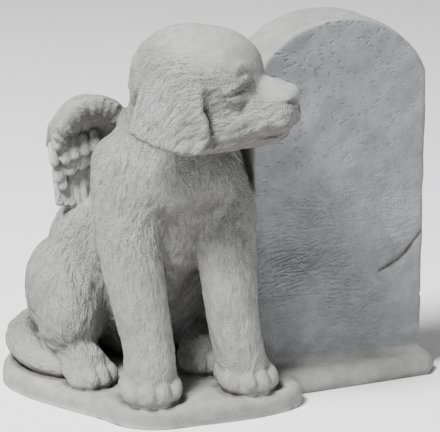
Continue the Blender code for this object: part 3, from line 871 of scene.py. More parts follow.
@dataclass
class Head:
    """The head, turned towards the stone, with drop ears and sleepy eyes."""

    turn: float = 52.0
    skull: tuple = (Lump((0, -10, 7), (43, 50, 45), 8.0), Lump((0, -36, 14.5), (30, 31.5, 33.5), 10.0))
    jaw: tuple = ((20, -18, -26, 21), (19, -42, -25, 18), (12, -62, -19, 14))
    chin: tuple = ((0, -36, -34, 13), (0, -54, -32, 11.5), (0, -68, -30.5, 10), (0, -80, -28.5, 8))
    muzzle: tuple = ((0, -54, -7, 19), (0, -72, -9, 17), (0, -82, -9, 14))
    bridge: tuple = ((0, -58, 4, 12), (0, -77, 2.5, 10.5), (0, -88, 1, 9))
    flew: tuple = ((15, -58, -16, 11), (12.5, -73, -17, 11.5), (8.5, -84.5, -15.5, 11.5))
    nose: Lump = Lump((0, -90, 1.5), (10.5, 8, 7.5), 1.5)
    parting: tuple = ((0, -99, -8, 1.0), (0, -97, -23, 1.4))
    socket: Lump = Lump((14.5, -72, 8), (4.5, 6.5, 7), 7.0)
    eyeball: Lump = Lump((20.5, -53, 0.5), (10.5, 7, 7), 5.0)
    ear: tuple = ((14, 14), (-4, 24), (-22, 22), (-30, 14), (-31, -2), (-36, -18),
                  (-36, -31), (-28, -38), (-12, -37), (6, -32), (23, -26), (21, -6))
    brow: tuple = ((25, -51.5, 22, 1.4), (22.5, -54, 25, 2.4), (19, -56, 26.5, 3.0), (14, -59, 24.5, 2.8),
                   (9.6, -62.2, 19, 2.2), (8.6, -64, 14, 1.2))
    lid: tuple = ((31.0, -47.3, 4.6, 1.4), (29.0, -51.2, 8.4, 2.2), (26.1, -54.3, 11.2, 2.5),
                  (21.8, -57.4, 13.8, 2.5), (15.6, -60.5, 16, 1.8))
    fold: tuple = ((24.5, -55.8, 17, 0.5), (21.7, -58.3, 19, 1.0), (18.7, -60.8, 20.6, 1.2),
                   (15, -63.3, 19.4, 1.2), (12.4, -65.2, 15.2, 0.8))
    slit: tuple = ((31, -51.2, 2.6, 0.6), (28.9, -54.6, 4.6, 1.1), (25.6, -57.8, 6.2, 1.3),
                   (20.2, -61.4, 8.6, 1.3), (15.4, -64, 11.2, 1.1), (12.6, -65.2, 12.7, 0.7))
    lower_lid: tuple = ((29, -51.8, -2.5, 0.4), (26.2, -57.2, -4.3, 0.7), (22.5, -61.8, -4.6, 0.3))
    lips: tuple = ((0.5, -93.5, -21.5, 1.2), (5, -91.5, -24.5, 1.6), (9.5, -85.5, -28.4, 1.8),
                   (12.4, -78.2, -30.8, 1.9), (15.4, -70.4, -31.6, 1.8), (20.5, -63.5, -31.2, 1.0))
    nostril: tuple = ((3.6, -99, -4.5, 1.8), (7.4, -96.4, -2.6, 2.1), (11.2, -92, -2.2, 1.2))

    def place(self, figure: Place) -> Place:
        """Return the head's own axes: -Y is the way the nose points."""
        return figure.at((-2, -38, 245), (0, 0, self.turn))

    def lay(self, clay: Clay, figure: Place) -> None:
        """Lay the head on the block, from the skull to the ears."""
        head = self.place(figure)
        for lump in self.skull:
            lump.lay(clay, head)
        for side in Side:
            clay.add(head, Rod(mirror(self.jaw, side)), 9.0)
        clay.add(head, Rod(self.chin, (1.55, 1.0, 1.0)), 4.0)
        clay.add(head, Rod(self.muzzle, (1.2, 1.0, 1.0)), 6.0)
        clay.add(head, Rod(self.bridge, (1.3, 1.0, 1.0)), 5.0)
        for side in Side:
            clay.add(head, Rod(smooth_route(mirror(self.flew, side), 3)), 4.0)
        self.nose.lay(clay, head)
        self.lay_eyes(clay, head)
        self.lay_mouth(clay, head)
        self.lay_ears(clay, head)

    def lay_eyes(self, clay: Clay, head: Place) -> None:
        """Lay the heavy upper lids that nearly close the eyes, under a hooked brow."""
        for side in Side:
            self.socket.on(side).cut(clay, head)
            self.eyeball.on(side).lay(clay, head)
            clay.add(head, Rod(mirrored_curve(self.brow, side)), 3.0)
            clay.add(head, Rod(mirrored_curve(self.lid, side)), 3.4)
            clay.cut(head, Rod(mirrored_curve(self.fold, side)), 2.0)
            clay.cut(head, Rod(mirrored_curve(self.slit, side)), 1.2)
            clay.cut(head, Rod(mirrored_curve(self.lower_lid, side)), 2.5)

    def lay_mouth(self, clay: Clay, head: Place) -> None:
        """Cut the line of the lips, the split under the nose and the nostrils."""
        clay.cut(head, Rod(self.parting), 1.5)
        for side in Side:
            clay.cut(head, Rod(mirrored_curve(self.lips, side)), 1.2)
            clay.cut(head, Rod(mirrored_curve(self.nostril, side)), 0.8)

    def creases(self, head: Place) -> list[tuple[Place, list[Station]]]:
        """Return the deep creases of the face and under the ears, which get painted shade."""
        found = [(head, mirrored_curve(route, side)) for side in Side
                 for route in (self.lips, self.nostril, self.slit)]
        found += [(head, self.under_ear(self.flap(side))) for side in Side]
        return found

    def flap(self, side: Side) -> Flap:
        """Return the ear of one side."""
        return Flap(smooth_outline(self.ear), side)

    def under_ear(self, flap: Flap) -> list[Station]:
        """Return the route of the hollow just under an ear's hanging edge."""
        return smooth_route([(*flap.spot(y, z - 4.0, 7.0), 6.0) for y, z in self.ear[6:11]])

    def lay_ears(self, clay: Clay, head: Place) -> None:
        """Lay the drop ears, with a thick rim along the front and the lower edge."""
        for side in Side:
            flap = self.flap(side)
            clay.cut(head, Rod(self.under_ear(flap)), 2.0)
            clay.add(head, flap, 1.0)
            rim = [(*flap.spot(y, z, 0.4), 2.8) for y, z in self.ear[3:11]]
            clay.add(head, Rod(smooth_route(rim)), 5.0)


@dataclass
class Coat:
    """The way the fur lies: directions at guide points, mixed by nearness."""

    body: tuple = (
        ((0, -50, 165), (0, -0.2, -1)), ((-35, -35, 165), (-0.2, 0, -1)), ((35, -35, 165), (0.2, 0, -1)),
        ((0, -45, 205), (0, 0, -1)), ((-38, -5, 205), (-0.2, 0.2, -1)), ((36, -5, 205), (0.2, 0.2, -1)),
        ((0, 30, 215), (0, 0.5, -0.9)), ((-60, 0, 165), (-0.1, 0.3, -1)), ((62, 0, 165), (0.1, 0.3, -1)),
        ((-60, -15, 130), (0, -0.1, -1)), ((60, -15, 130), (0, -0.1, -1)),
        ((-42, -72, 80), (0.05, -0.15, -1)), ((38, -72, 80), (-0.05, -0.15, -1)),
        ((-62, -45, 80), (0, -0.2, -1)), ((-37, -77, 38), (0, -0.2, -1)), ((40, -77, 38), (0, -0.2, -1)),
        ((-37, -82, 20), (0, -0.9, -0.4)), ((44, -82, 20), (0, -0.9, -0.4)),
        ((0, 55, 170), (0, 0.35, -0.95)), ((0, 85, 110), (0, 0.2, -1)), ((0, 110, 60), (0, 0, -1)),
        ((-55, 30, 120), (-0.1, 0.5, -0.85)), ((58, 30, 120), (0.1, 0.5, -0.85)),
        ((-104, 45, 85), (-0.1, 0.25, -1)), ((-88, 0, 60), (0, -0.3, -0.95)),
        ((-100, 30, 28), (0, -0.5, -0.85)), ((90, 45, 80), (0.1, 0.25, -1)),
        ((-72, -18, 20), (0, -0.9, -0.4)), ((26, -18, 20), (0, -0.9, -0.4)),
        ((0, -25, 110), (0, -0.3, -1)), ((-6, 112, 30), (-1, 0, -0.2)), ((-50, 110, 35), (-1, 0, 0)),
        ((-100, 88, 28), (-0.7, -0.7, 0)), ((-118, 45, 22), (0, -1, 0)), ((-98, 14, 14), (0.5, -0.9, 0)),
        ((-60, 36, 180), (-0.15, 0, -1)), ((-84, 40, 175), (-0.1, 0, -1)), ((-50, 34, 226), (-1, 0, 0.2)),
        ((60, 36, 180), (0.15, 0, -1)), ((84, 40, 175), (0.1, 0, -1)), ((50, 34, 226), (1, 0, 0.2)))
    face: tuple = (
        ((0, -80, 14), (0, 1, 0.1)), ((0, -65, 20), (0, 0.8, 0.6)), ((0, -55, 45), (0, 0.8, 0.6)),
        ((0, -15, 54), (0, 1, 0.05)), ((0, 35, 30), (0, 0.4, -0.9)), ((0, -70, -40), (0, 1, -0.2)),
        ((0, -45, -50), (0, 0.9, -0.4)), ((20, -75, -8), (0.2, 1, -0.25)), ((16, -75, -25), (0, 0.9, -0.5)),
        ((40, -25, 20), (0.1, 1, -0.1)), ((32, -50, -12), (0.2, 0.9, -0.35)),
        ((30, -35, -35), (0, 0.75, -0.65)), ((38, -20, -20), (0, 0.9, -0.5)), ((50, 0, 0), (0, 0.15, -1)),
        ((48, -5, -28), (0, 0.25, -1)), ((22, -55, 30), (0.3, 0.6, 0.7)), ((36, -42, 5), (0.1, 1, -0.1)))
    spread: float = 16.0
    wander: float = 0.34
    lock: float = 11.0

    def guides(self, figure: Place, head: Place) -> list[tuple[np.ndarray, np.ndarray]]:
        """Return all guide points and directions in the block."""
        rows = [(figure.out(spot), figure.turn @ np.array(way, dtype=float)) for spot, way in self.body]
        for spot, way in self.face:
            for side in ((1,) if spot[0] == 0 else (-1, 1)):
                turned = (side * spot[0], spot[1], spot[2]), (side * way[0], way[1], way[2])
                rows.append((head.out(turned[0]), head.turn @ np.array(turned[1], dtype=float)))
        return rows

    def flow(self, figure: Place, head: Place, points: np.ndarray, grit: Grit) -> np.ndarray:
        """Find how the fur lies, wandering from lock to lock.

        Args:
            figure: The puppy's place.
            head: The head's place.
            points: Points of the block.
            grit: The random values.

        Returns:
            One direction a point.
        """
        total = np.zeros_like(points)
        for spot, way in self.guides(figure, head):
            gap = np.sum((points - spot) ** 2, axis=1)
            weight = 1.0 / (gap + self.spread**2) ** 2
            total += weight[:, None] * way / np.linalg.norm(way)
        total /= np.linalg.norm(total, axis=1)[:, None]
        for axis in range(3):
            total[:, axis] += self.wander * grit.at(points + 170.0 * (axis + 1), self.lock)
        return total

    def shag(self, figure: Place, head: Place, points: np.ndarray) -> np.ndarray:
        """Find how rough the coat is: calm on the crown, the nose, the legs and the paws.

        Args:
            figure: The puppy's place.
            head: The head's place.
            points: Points of the block.

        Returns:
            One value a point, from 0 where it is smooth to 1.
        """
        face, body = head.into(points), figure.into(points)
        near = 1.0 - ease(np.linalg.norm(face - np.array((0.0, -25.0, 5.0)), axis=1), 66.0, 80.0)
        crown = ease(face[:, 2] - 0.35 * face[:, 1], 26.0, 50.0)
        bridge = ease(-face[:, 1], 60.0, 72.0) * ease(face[:, 2], -4.0, 5.0)
        legs = ease(-body[:, 1], 20.0, 40.0) * (1.0 - ease(body[:, 2], 90.0, 125.0))
        feet = 1.0 - ease(body[:, 2], 14.0, 34.0)
        face_calm = near * np.maximum(0.85 * crown, 0.9 * bridge)
        return 1.0 - np.maximum(face_calm, np.maximum(0.45 * legs, 0.6 * feet))


@dataclass
class Skin:
    """What is known at each point of the mesh: where it is and what it carries."""

    points: np.ndarray
    normals: np.ndarray
    flow: np.ndarray = field(default_factory=lambda: np.zeros((0, 3)))
    masks: dict[Region, np.ndarray] = field(default_factory=dict)


@dataclass
class Statue:
    """The whole casting: sizes, sub-assemblies, mesh and finish."""

    puppy_height: float = 294.0
    figure_grid: float = 294.0
    midline_to_headstone: float = 65.0
    shoulder_to_face: float = 28.0
    join_to_stone: float = 2.5
    step: float = 1.25
    budget: int = 196000
    headstone: Headstone = field(default_factory=Headstone)
    base: Base = field(default_factory=Base)
    head: Head = field(default_factory=Head)
    coat: Coat = field(default_factory=Coat)
    shift: np.ndarray = field(default_factory=lambda: np.zeros(3))

    def __post_init__(self) -> None:
        """Set the places that everything else is drawn in."""
        self.figure = Place(scale=self.puppy_height / self.figure_grid)
        self.corner = Place(self.figure.out((self.midline_to_headstone, -self.shoulder_to_face, 0.0)))
        self.grit = Grit(11)

    def blocks(self) -> tuple[Clay, Clay]:
        """Shape the stone and the puppy.

        Returns:
            The block with the headstone and base, and the block with the puppy.
        """
        margin = 3.0 * self.step
        low = np.minimum(self.figure.out((-134, -116, 0)), self.corner.out((0, -32.0, 0)))
        high = np.maximum(self.figure.out((95, 122, 302)),
                          self.corner.out((self.headstone.width + self.headstone.ledge_side,
                                           self.headstone.thick + self.headstone.ledge_back,
                                           self.headstone.height)))
        low[2] = -self.base.thick - margin
        stone = Clay(low - margin, high + margin, self.step)
        self.base.lay(stone, self.figure)
        self.headstone.lay(stone, self.corner, self.base.thick)
        puppy = Clay(low - margin, high + margin, self.step)
        Torso().lay(puppy, self.figure)
        for side in Side:
            HindLeg(side).lay(puppy, self.figure)
            Foreleg(side).lay(puppy, self.figure)
        Tail().lay(puppy, self.figure)
        self.head.lay(puppy, self.figure)
        for side in Side:
            Wing(side).lay(puppy, self.figure)
        return stone, puppy

    def read_skin(self, points: np.ndarray, normals: np.ndarray, stone: Clay, puppy: Clay) -> Skin:
        """Work out what each point of the skin carries.

        Args:
            points: The points, in the block.
            normals: The skin's normals there.
            stone: The block with the headstone and base.
            puppy: The block with the puppy.

        Returns:
            The skin with its flow and masks.
        """
        skin = Skin(points, normals)
        coat = ease(stone.read(points) - puppy.read(points), -1.5, 1.5)
        head = self.head.place(self.figure)
        fur = self.coat.flow(self.figure, head, points, self.grit)
        marks = self.headstone.flow(self.corner, points, self.grit)
        flow = coat[:, None] * fur / np.linalg.norm(fur, axis=1)[:, None] + (1.0 - coat[:, None]) * marks
        flow -= np.sum(flow * normals, axis=1)[:, None] * normals
        skin.flow = flow / np.maximum(np.linalg.norm(flow, axis=1), 1e-6)[:, None]
        local = self.figure.into(points)
        away = np.sqrt((np.abs(local[:, 0]) - 58.0) ** 2 + (1.3 * (local[:, 1] - 34.0)) ** 2
                       + ((local[:, 2] - 188.0) * 0.7) ** 2)
        nose = np.linalg.norm(head.into(points) - np.array((0.0, -93.0, 1.0)), axis=1)
        skin.masks[Region.PLUMES] = coat * (1.0 - ease(away, 32.0, 40.0))
        skin.masks[Region.COAT] = coat * ease(nose, 7.0, 11.0)
        skin.masks[Region.FACE] = (1.0 - coat) * self.headstone.face_mask(self.corner, points, normals)
        pits, chisel = self.headstone.worked(self.corner, points, self.grit)
        skin.masks[Region.PITS] = skin.masks[Region.FACE] * pits
        skin.masks[Region.CHISEL] = skin.masks[Region.FACE] * chisel
        skin.masks[Region.SHAG] = coat * self.coat.shag(self.figure, head, points)
        skin.masks[Region.CREASE] = self.creases(points)
        return skin

    def creases(self, points: np.ndarray) -> np.ndarray:
        """Return 1 in the sharp creases that get painted shade: lips, eyes, nostrils, under the ears and the
        crack in the slab.
        """
        routes = self.head.creases(self.head.place(self.figure))
        routes.append((self.corner, self.headstone.crack_route()))
        found = np.zeros(len(points))
        for place, route in routes:
            gap = Rod(route).distance(*place.into(points).T)
            found = np.maximum(found, 1.0 - ease(gap, -0.2, 1.3))
        return found

    def relief(self, skin: Skin) -> np.ndarray:
        """Return how far each point is raised by fur, tool marks and the hand's unevenness."""
        points, grit = skin.points, self.grit
        coat, face = skin.masks[Region.COAT], skin.masks[Region.FACE]
        plumes = skin.masks[Region.PLUMES]
        fur = 0.27 * grit.strokes(points, skin.flow, 2.2, 5.5)
        fur += 0.26 * grit.strokes(points + 300.0, skin.flow, 4.4, 10.0)
        fur *= 0.15 + 0.85 * skin.masks[Region.SHAG]
        height = coat * (1.0 - 0.75 * plumes) * fur
        height += face * self.headstone.tool_marks(self.corner, points, skin.flow, grit)
        rough = (1.0 - coat) * (1.0 - face)
        height += rough * (0.5 * grit.at(points, 14.0) + 0.8 * grit.at(points, 34.0)
                           + 0.12 * grit.at(points, 4.0))
        height += 0.25 * grit.at(points + 200.0, 22.0)
        return height * ease(points[:, 2], -self.base.thick, -self.base.thick + 4.0)

    def sculpt(self) -> tuple[bpy.types.Mesh, Clay, Clay]:
        """Make the mesh of the whole statue.

        Returns:
            The mesh in millimetres of the block, and the two blocks.
        """
        stone, puppy = self.blocks()
        LOG.info("clay shaped, %d cells a block", stone.field.size)
        grid = openvdb.FloatGrid(FAR_AWAY)
        block = soft_min(puppy.field, stone.field, self.join_to_stone)
        grid.copyFromArray(np.ascontiguousarray(block))
        points, _, quads = grid.convertToPolygons(isovalue=0.0, adaptivity=0.0)
        points = points * stone.step + stone.low
        mesh = bpy.data.meshes.new("statue")
        mesh.vertices.add(len(points))
        mesh.vertices.foreach_set("co", points.astype(np.float32).ravel())
        mesh.loops.add(4 * len(quads))
        mesh.loops.foreach_set("vertex_index", quads[:, ::-1].astype(np.int32).ravel())
        mesh.polygons.add(len(quads))
        mesh.polygons.foreach_set("loop_start", 4 * np.arange(len(quads), dtype=np.int32))
        mesh.update(calc_edges=True)
        skin = self.read_skin(points, normals_of(mesh), stone, puppy)
        raised = points + self.relief(skin)[:, None] * skin.normals
        mesh.vertices.foreach_set("co", raised.astype(np.float32).ravel())
        mesh.update()
        LOG.info("skin of %d faces pressed with fur and tool marks", len(quads))
        return mesh, stone, puppy

    def build(self, finish: "CastStone") -> bpy.types.Object:
        """Build, dress and place the statue.

        Args:
            finish: The finish of the whole casting.

        Returns:
            The statue's object.
        """
        mesh, stone, puppy = self.sculpt()
        mesh = thin_out(mesh, self.budget)
        cut_underside(mesh, -self.base.thick)
        points = points_of(mesh)
        skin = self.read_skin(points, normals_of(mesh), stone, puppy)
        self.write_masks(mesh, skin)
        low, high = points.min(axis=0), points.max(axis=0)
        self.shift = np.array((0.5 * (low[0] + high[0]), 0.5 * (low[1] + high[1]), low[2]))
        mesh.transform(Matrix.Scale(1.0 / METRE, 4) @ Matrix.Translation(-Vector(self.shift)))
        mesh.shade_smooth()
        mesh.materials.append(finish.material())
        statue = bpy.data.objects.new("statue", mesh)
        bpy.context.scene.collection.objects.link(statue)
        LOG.info("statue: %d triangles", len(mesh.polygons))
        return statue

    def write_masks(self, mesh: bpy.types.Mesh, skin: Skin) -> None:
        """Store the flow, the masks, the worn edges, and the hollows and the undersides that get painted
        shade, on the mesh.
        """
        hollow, worn = hollows_and_edges(mesh, skin)
        values = {region.value: mask for region, mask in skin.masks.items()}
        # The hollow and under masks set painted shade: darker in closed hollows and on faces that turn down.
        values.update(hollow=hollow, worn=worn, under=ease(-skin.normals[:, 2], -0.15, 0.65))
        for name, value in values.items():
            layer = mesh.attributes.new(name, "FLOAT", "POINT")
            layer.data.foreach_set("value", value.astype(np.float32))
        layer = mesh.attributes.new("flow", "FLOAT_VECTOR", "POINT")
        layer.data.foreach_set("vector", skin.flow.astype(np.float32).ravel())


def points_of(mesh: bpy.types.Mesh) -> np.ndarray:
    """Return a mesh's points, one a row."""
    values = np.empty(3 * len(mesh.vertices), dtype=np.float32)
    mesh.vertices.foreach_get("co", values)
    return values.reshape(-1, 3).astype(float)


def normals_of(mesh: bpy.types.Mesh) -> np.ndarray:
    """Return a mesh's normals at its points, one a row."""
    values = np.empty(3 * len(mesh.vertices), dtype=np.float32)
    mesh.vertex_normals.foreach_get("vector", values)
    return values.reshape(-1, 3).astype(float)


def thin_out(mesh: bpy.types.Mesh, budget: int) -> bpy.types.Mesh:
    """Return the same skin with fewer faces, fewest where it is flat."""
    work = bpy.data.objects.new("thinning", mesh)
    bpy.context.scene.collection.objects.link(work)
    thin = work.modifiers.new("thin", "DECIMATE")
    triangles = sum(len(face.vertices) - 2 for face in mesh.polygons)
    thin.ratio = min(1.0, budget / triangles)
    thin.use_collapse_triangulate = True
    ready = work.evaluated_get(bpy.context.evaluated_depsgraph_get())
    thinned = bpy.data.meshes.new_from_object(ready)
    bpy.data.objects.remove(work)
    return thinned


def cut_underside(mesh: bpy.types.Mesh, level: float) -> None:
    """Drop loose crumbs, cut the base off flat at a level and close the cut."""
    form = bmesh.new()
    form.from_mesh(mesh)
    drop_crumbs(form)
    geometry = list(form.verts) + list(form.edges) + list(form.faces)
    bmesh.ops.bisect_plane(form, geom=geometry, dist=1e-4, plane_co=(0.0, 0.0, level),
                           plane_no=(0.0, 0.0, -1.0), clear_outer=True)
    rim = [edge for edge in form.edges if edge.is_boundary]
    bmesh.ops.holes_fill(form, edges=rim, sides=0)
    bmesh.ops.triangulate(form, faces=form.faces)
    bmesh.ops.recalc_face_normals(form, faces=form.faces)
    form.to_mesh(mesh)
    form.free()


def drop_crumbs(form: bmesh.types.BMesh) -> None:
    """Keep the largest connected skin: soft joins can leave a loose crumb or a bubble."""
    unseen = set(form.verts)
    skins = []
    while unseen:
        skin = {unseen.pop()}
        front = list(skin)
        while front:
            vert = front.pop()
            for edge in vert.link_edges:
                other = edge.other_vert(vert)
                if other in unseen:
                    unseen.remove(other)
                    skin.add(other)
                    front.append(other)
        skins.append(skin)
    skins.sort(key=len)
    for skin in skins[:-1]:
        bmesh.ops.delete(form, geom=list(skin), context="VERTS")


def hollows_and_edges(mesh: bpy.types.Mesh, skin: Skin) -> tuple[np.ndarray, np.ndarray]:
    """Find the hollows that get painted shade, by how closed round they are, and where handling wears the
    stone.

    Args:
        mesh: The statue's mesh, in millimetres.
        skin: Its points and normals.

    Returns:
        Two masks from 0 to 1, one value a point: hollows and proud edges.
    """
    voxel, reach = 1.5, 10
    faces = np.empty(3 * len(mesh.polygons), dtype=np.int32)
    mesh.polygons.foreach_get("vertices", faces)
    low = np.floor(skin.points.min(axis=0) / voxel).astype(int) - reach
    high = np.ceil(skin.points.max(axis=0) / voxel).astype(int) + reach
    level = openvdb.FloatGrid.createLevelSetFromPolygons(
        (skin.points / voxel).astype(np.float32),
        triangles=faces.reshape(-1, 3).astype(np.uint32), halfWidth=float(reach))
    gaps = np.zeros(high - low, dtype=np.float32)
    level.copyToArray(gaps, ijk=tuple(int(v) for v in low))
    gaps *= voxel
    hollow = np.zeros(len(skin.points))
    # Hollow: how far the skin closes round each point along its normal, as in ambient occlusion; it sets
    # painted shade.
    for far, weight in ((2.5, 0.3), (5.0, 0.3), (9.0, 0.25), (14.0, 0.15)):
        seen = read_grid(gaps, low * voxel, voxel, skin.points + far * skin.normals)
        hollow += weight * np.clip(1.0 - seen / far, 0.0, 1.0)
    worn = np.zeros(len(skin.points))
    for far, weight in ((2.5, 0.5), (6.0, 0.5)):
        under = read_grid(gaps, low * voxel, voxel, skin.points - far * skin.normals)
        worn += weight * np.clip(1.0 + under / far, 0.0, 1.0)
    return np.clip(hollow, 0.0, 1.0), np.clip(worn, 0.0, 1.0)


class Wiring:
    """A node tree that nodes are placed in and wired up by name."""

    def __init__(self, tree: bpy.types.NodeTree) -> None:
        """Start from a tree."""
        self.tree = tree

    def put(self, kind: str, inputs: dict | None = None, **settings: object) -> bpy.types.Node:
        """Place a node.

        Args:
            kind: The node's type.
            inputs: Values or sockets for its inputs, by name or number.
            settings: Its own settings.

        Returns:
            The node.
        """
        node = self.tree.nodes.new(kind)
        for name, value in settings.items():
            setattr(node, name, value)
        for name, value in (inputs or {}).items():
            socket = node.inputs[name]
            if isinstance(value, bpy.types.NodeSocket):
                self.tree.links.new(value, socket)
            else:
                socket.default_value = value
        return node

    def calc(self, operation: str, one: object, two: object = 0.0,
             three: object = 0.0) -> bpy.types.NodeSocket:
        """Return the result of a Math node."""
        return self.put("ShaderNodeMath", {0: one, 1: two, 2: three}, operation=operation).outputs[0]

    def times(self, first: object, *others: object) -> bpy.types.NodeSocket:
        """Return the product of values."""
        for other in others:
            first = self.calc("MULTIPLY", first, other)
        return first

    def vector(self, operation: str, inputs: dict) -> bpy.types.NodeSocket:
        """Return the result of a Vector Math node."""
        return self.put("ShaderNodeVectorMath", inputs, operation=operation).outputs[0]

    def blend(self, share: object, one: object, two: object, way: str = "MIX") -> bpy.types.NodeSocket:
        """Return the result of a colour Mix node."""
        node = self.put("ShaderNodeMix", {0: share, 6: one, 7: two}, data_type="RGBA", blend_type=way)
        return node.outputs[2]

    def ramp(self, value: object, low: float, high: float, to_low: float,
             to_high: float) -> bpy.types.NodeSocket:
        """Return a value mapped smoothly from one range to another."""
        node = self.put("ShaderNodeMapRange", {0: value, 1: low, 2: high, 3: to_low, 4: to_high},
                        interpolation_type="SMOOTHSTEP")
        return node.outputs[0]

    def noise(self, place: object, scale: float, detail: float = 2.0,
              rough: float = 0.5) -> bpy.types.NodeSocket:
        """Return the value of a Noise Texture."""
        node = self.put("ShaderNodeTexNoise", {"Vector": place, "Scale": scale, "Detail": detail,
                                               "Roughness": rough})
        return node.outputs[0]

    def own(self, name: str, output: str) -> bpy.types.NodeSocket:
        """Return one of the mesh's own values."""
        return self.put("ShaderNodeAttribute", attribute_name=name, attribute_type="GEOMETRY").outputs[output]


def new_group(name: str, inputs: dict[str, str],
              outputs: dict[str, str]) -> tuple[Wiring, bpy.types.Node, bpy.types.Node]:
    """Start a shader node group.

    Args:
        name: The group's name.
        inputs: The type of each input socket.
        outputs: The type of each output socket.

    Returns:
        The group's wiring, and its input and output nodes.
    """
    tree = bpy.data.node_groups.new(name, "ShaderNodeTree")
    for socket, kind in inputs.items():
        tree.interface.new_socket(socket, in_out="INPUT", socket_type=kind)
    for socket, kind in outputs.items():
        tree.interface.new_socket(socket, in_out="OUTPUT", socket_type=kind)
    wiring = Wiring(tree)
    return wiring, wiring.put("NodeGroupInput"), wiring.put("NodeGroupOutput")


def stroke_group() -> bpy.types.NodeTree:
    """Return the group that draws strokes along the mesh's flow, as a height from 0 to 1."""
    wiring, start, end = new_group(
        "strokes_along_flow",
        {"Place": "NodeSocketVector", "Flow": "NodeSocketVector", "Scale": "NodeSocketFloat",
         "Reach": "NodeSocketFloat"}, {"Height": "NodeSocketFloat"})
    total = None
    taps = 4
    for i in range(taps):
        length = wiring.times(start.outputs["Reach"], i / (taps - 1) - 0.5)
        along = wiring.vector("SCALE", {0: start.outputs["Flow"], "Scale": length})
        spot = wiring.vector("ADD", {0: start.outputs["Place"], 1: along})
        value = wiring.noise(spot, start.outputs["Scale"], 1.0)
        total = value if total is None else wiring.calc("ADD", total, value)
    mean = wiring.calc("DIVIDE", total, float(taps))
    spread = wiring.put("ShaderNodeMapRange", {0: mean, 1: 0.39, 2: 0.61, 3: 0.0, 4: 1.0})
    wiring.tree.links.new(spread.outputs[0], end.inputs["Height"])
    return wiring.tree


def grain_group() -> bpy.types.NodeTree:
    """Return the group of the stone's own grain: sand, pores and blotches."""
    wiring, start, end = new_group(
        "stone_grain", {"Place": "NodeSocketVector"},
        {"Sand": "NodeSocketFloat", "Pores": "NodeSocketFloat", "Blotches": "NodeSocketFloat",
         "Clouds": "NodeSocketFloat"})
    place = start.outputs["Place"]
    sand = wiring.noise(place, 1500.0, 2.0, 0.7)
    cells = wiring.put("ShaderNodeTexVoronoi", {"Vector": place, "Scale": 430.0}).outputs["Distance"]
    pick = wiring.ramp(wiring.noise(place, 160.0), 0.50, 0.62, 0.0, 1.0)
    pores = wiring.times(wiring.ramp(cells, 0.08, 0.26, 1.0, 0.0), pick)
    wiring.tree.links.new(sand, end.inputs["Sand"])
    wiring.tree.links.new(pores, end.inputs["Pores"])
    wiring.tree.links.new(wiring.noise(place, 105.0, 4.0, 0.6), end.inputs["Blotches"])
    wiring.tree.links.new(wiring.noise(place, 24.0, 3.0, 0.55), end.inputs["Clouds"])
    return wiring.tree


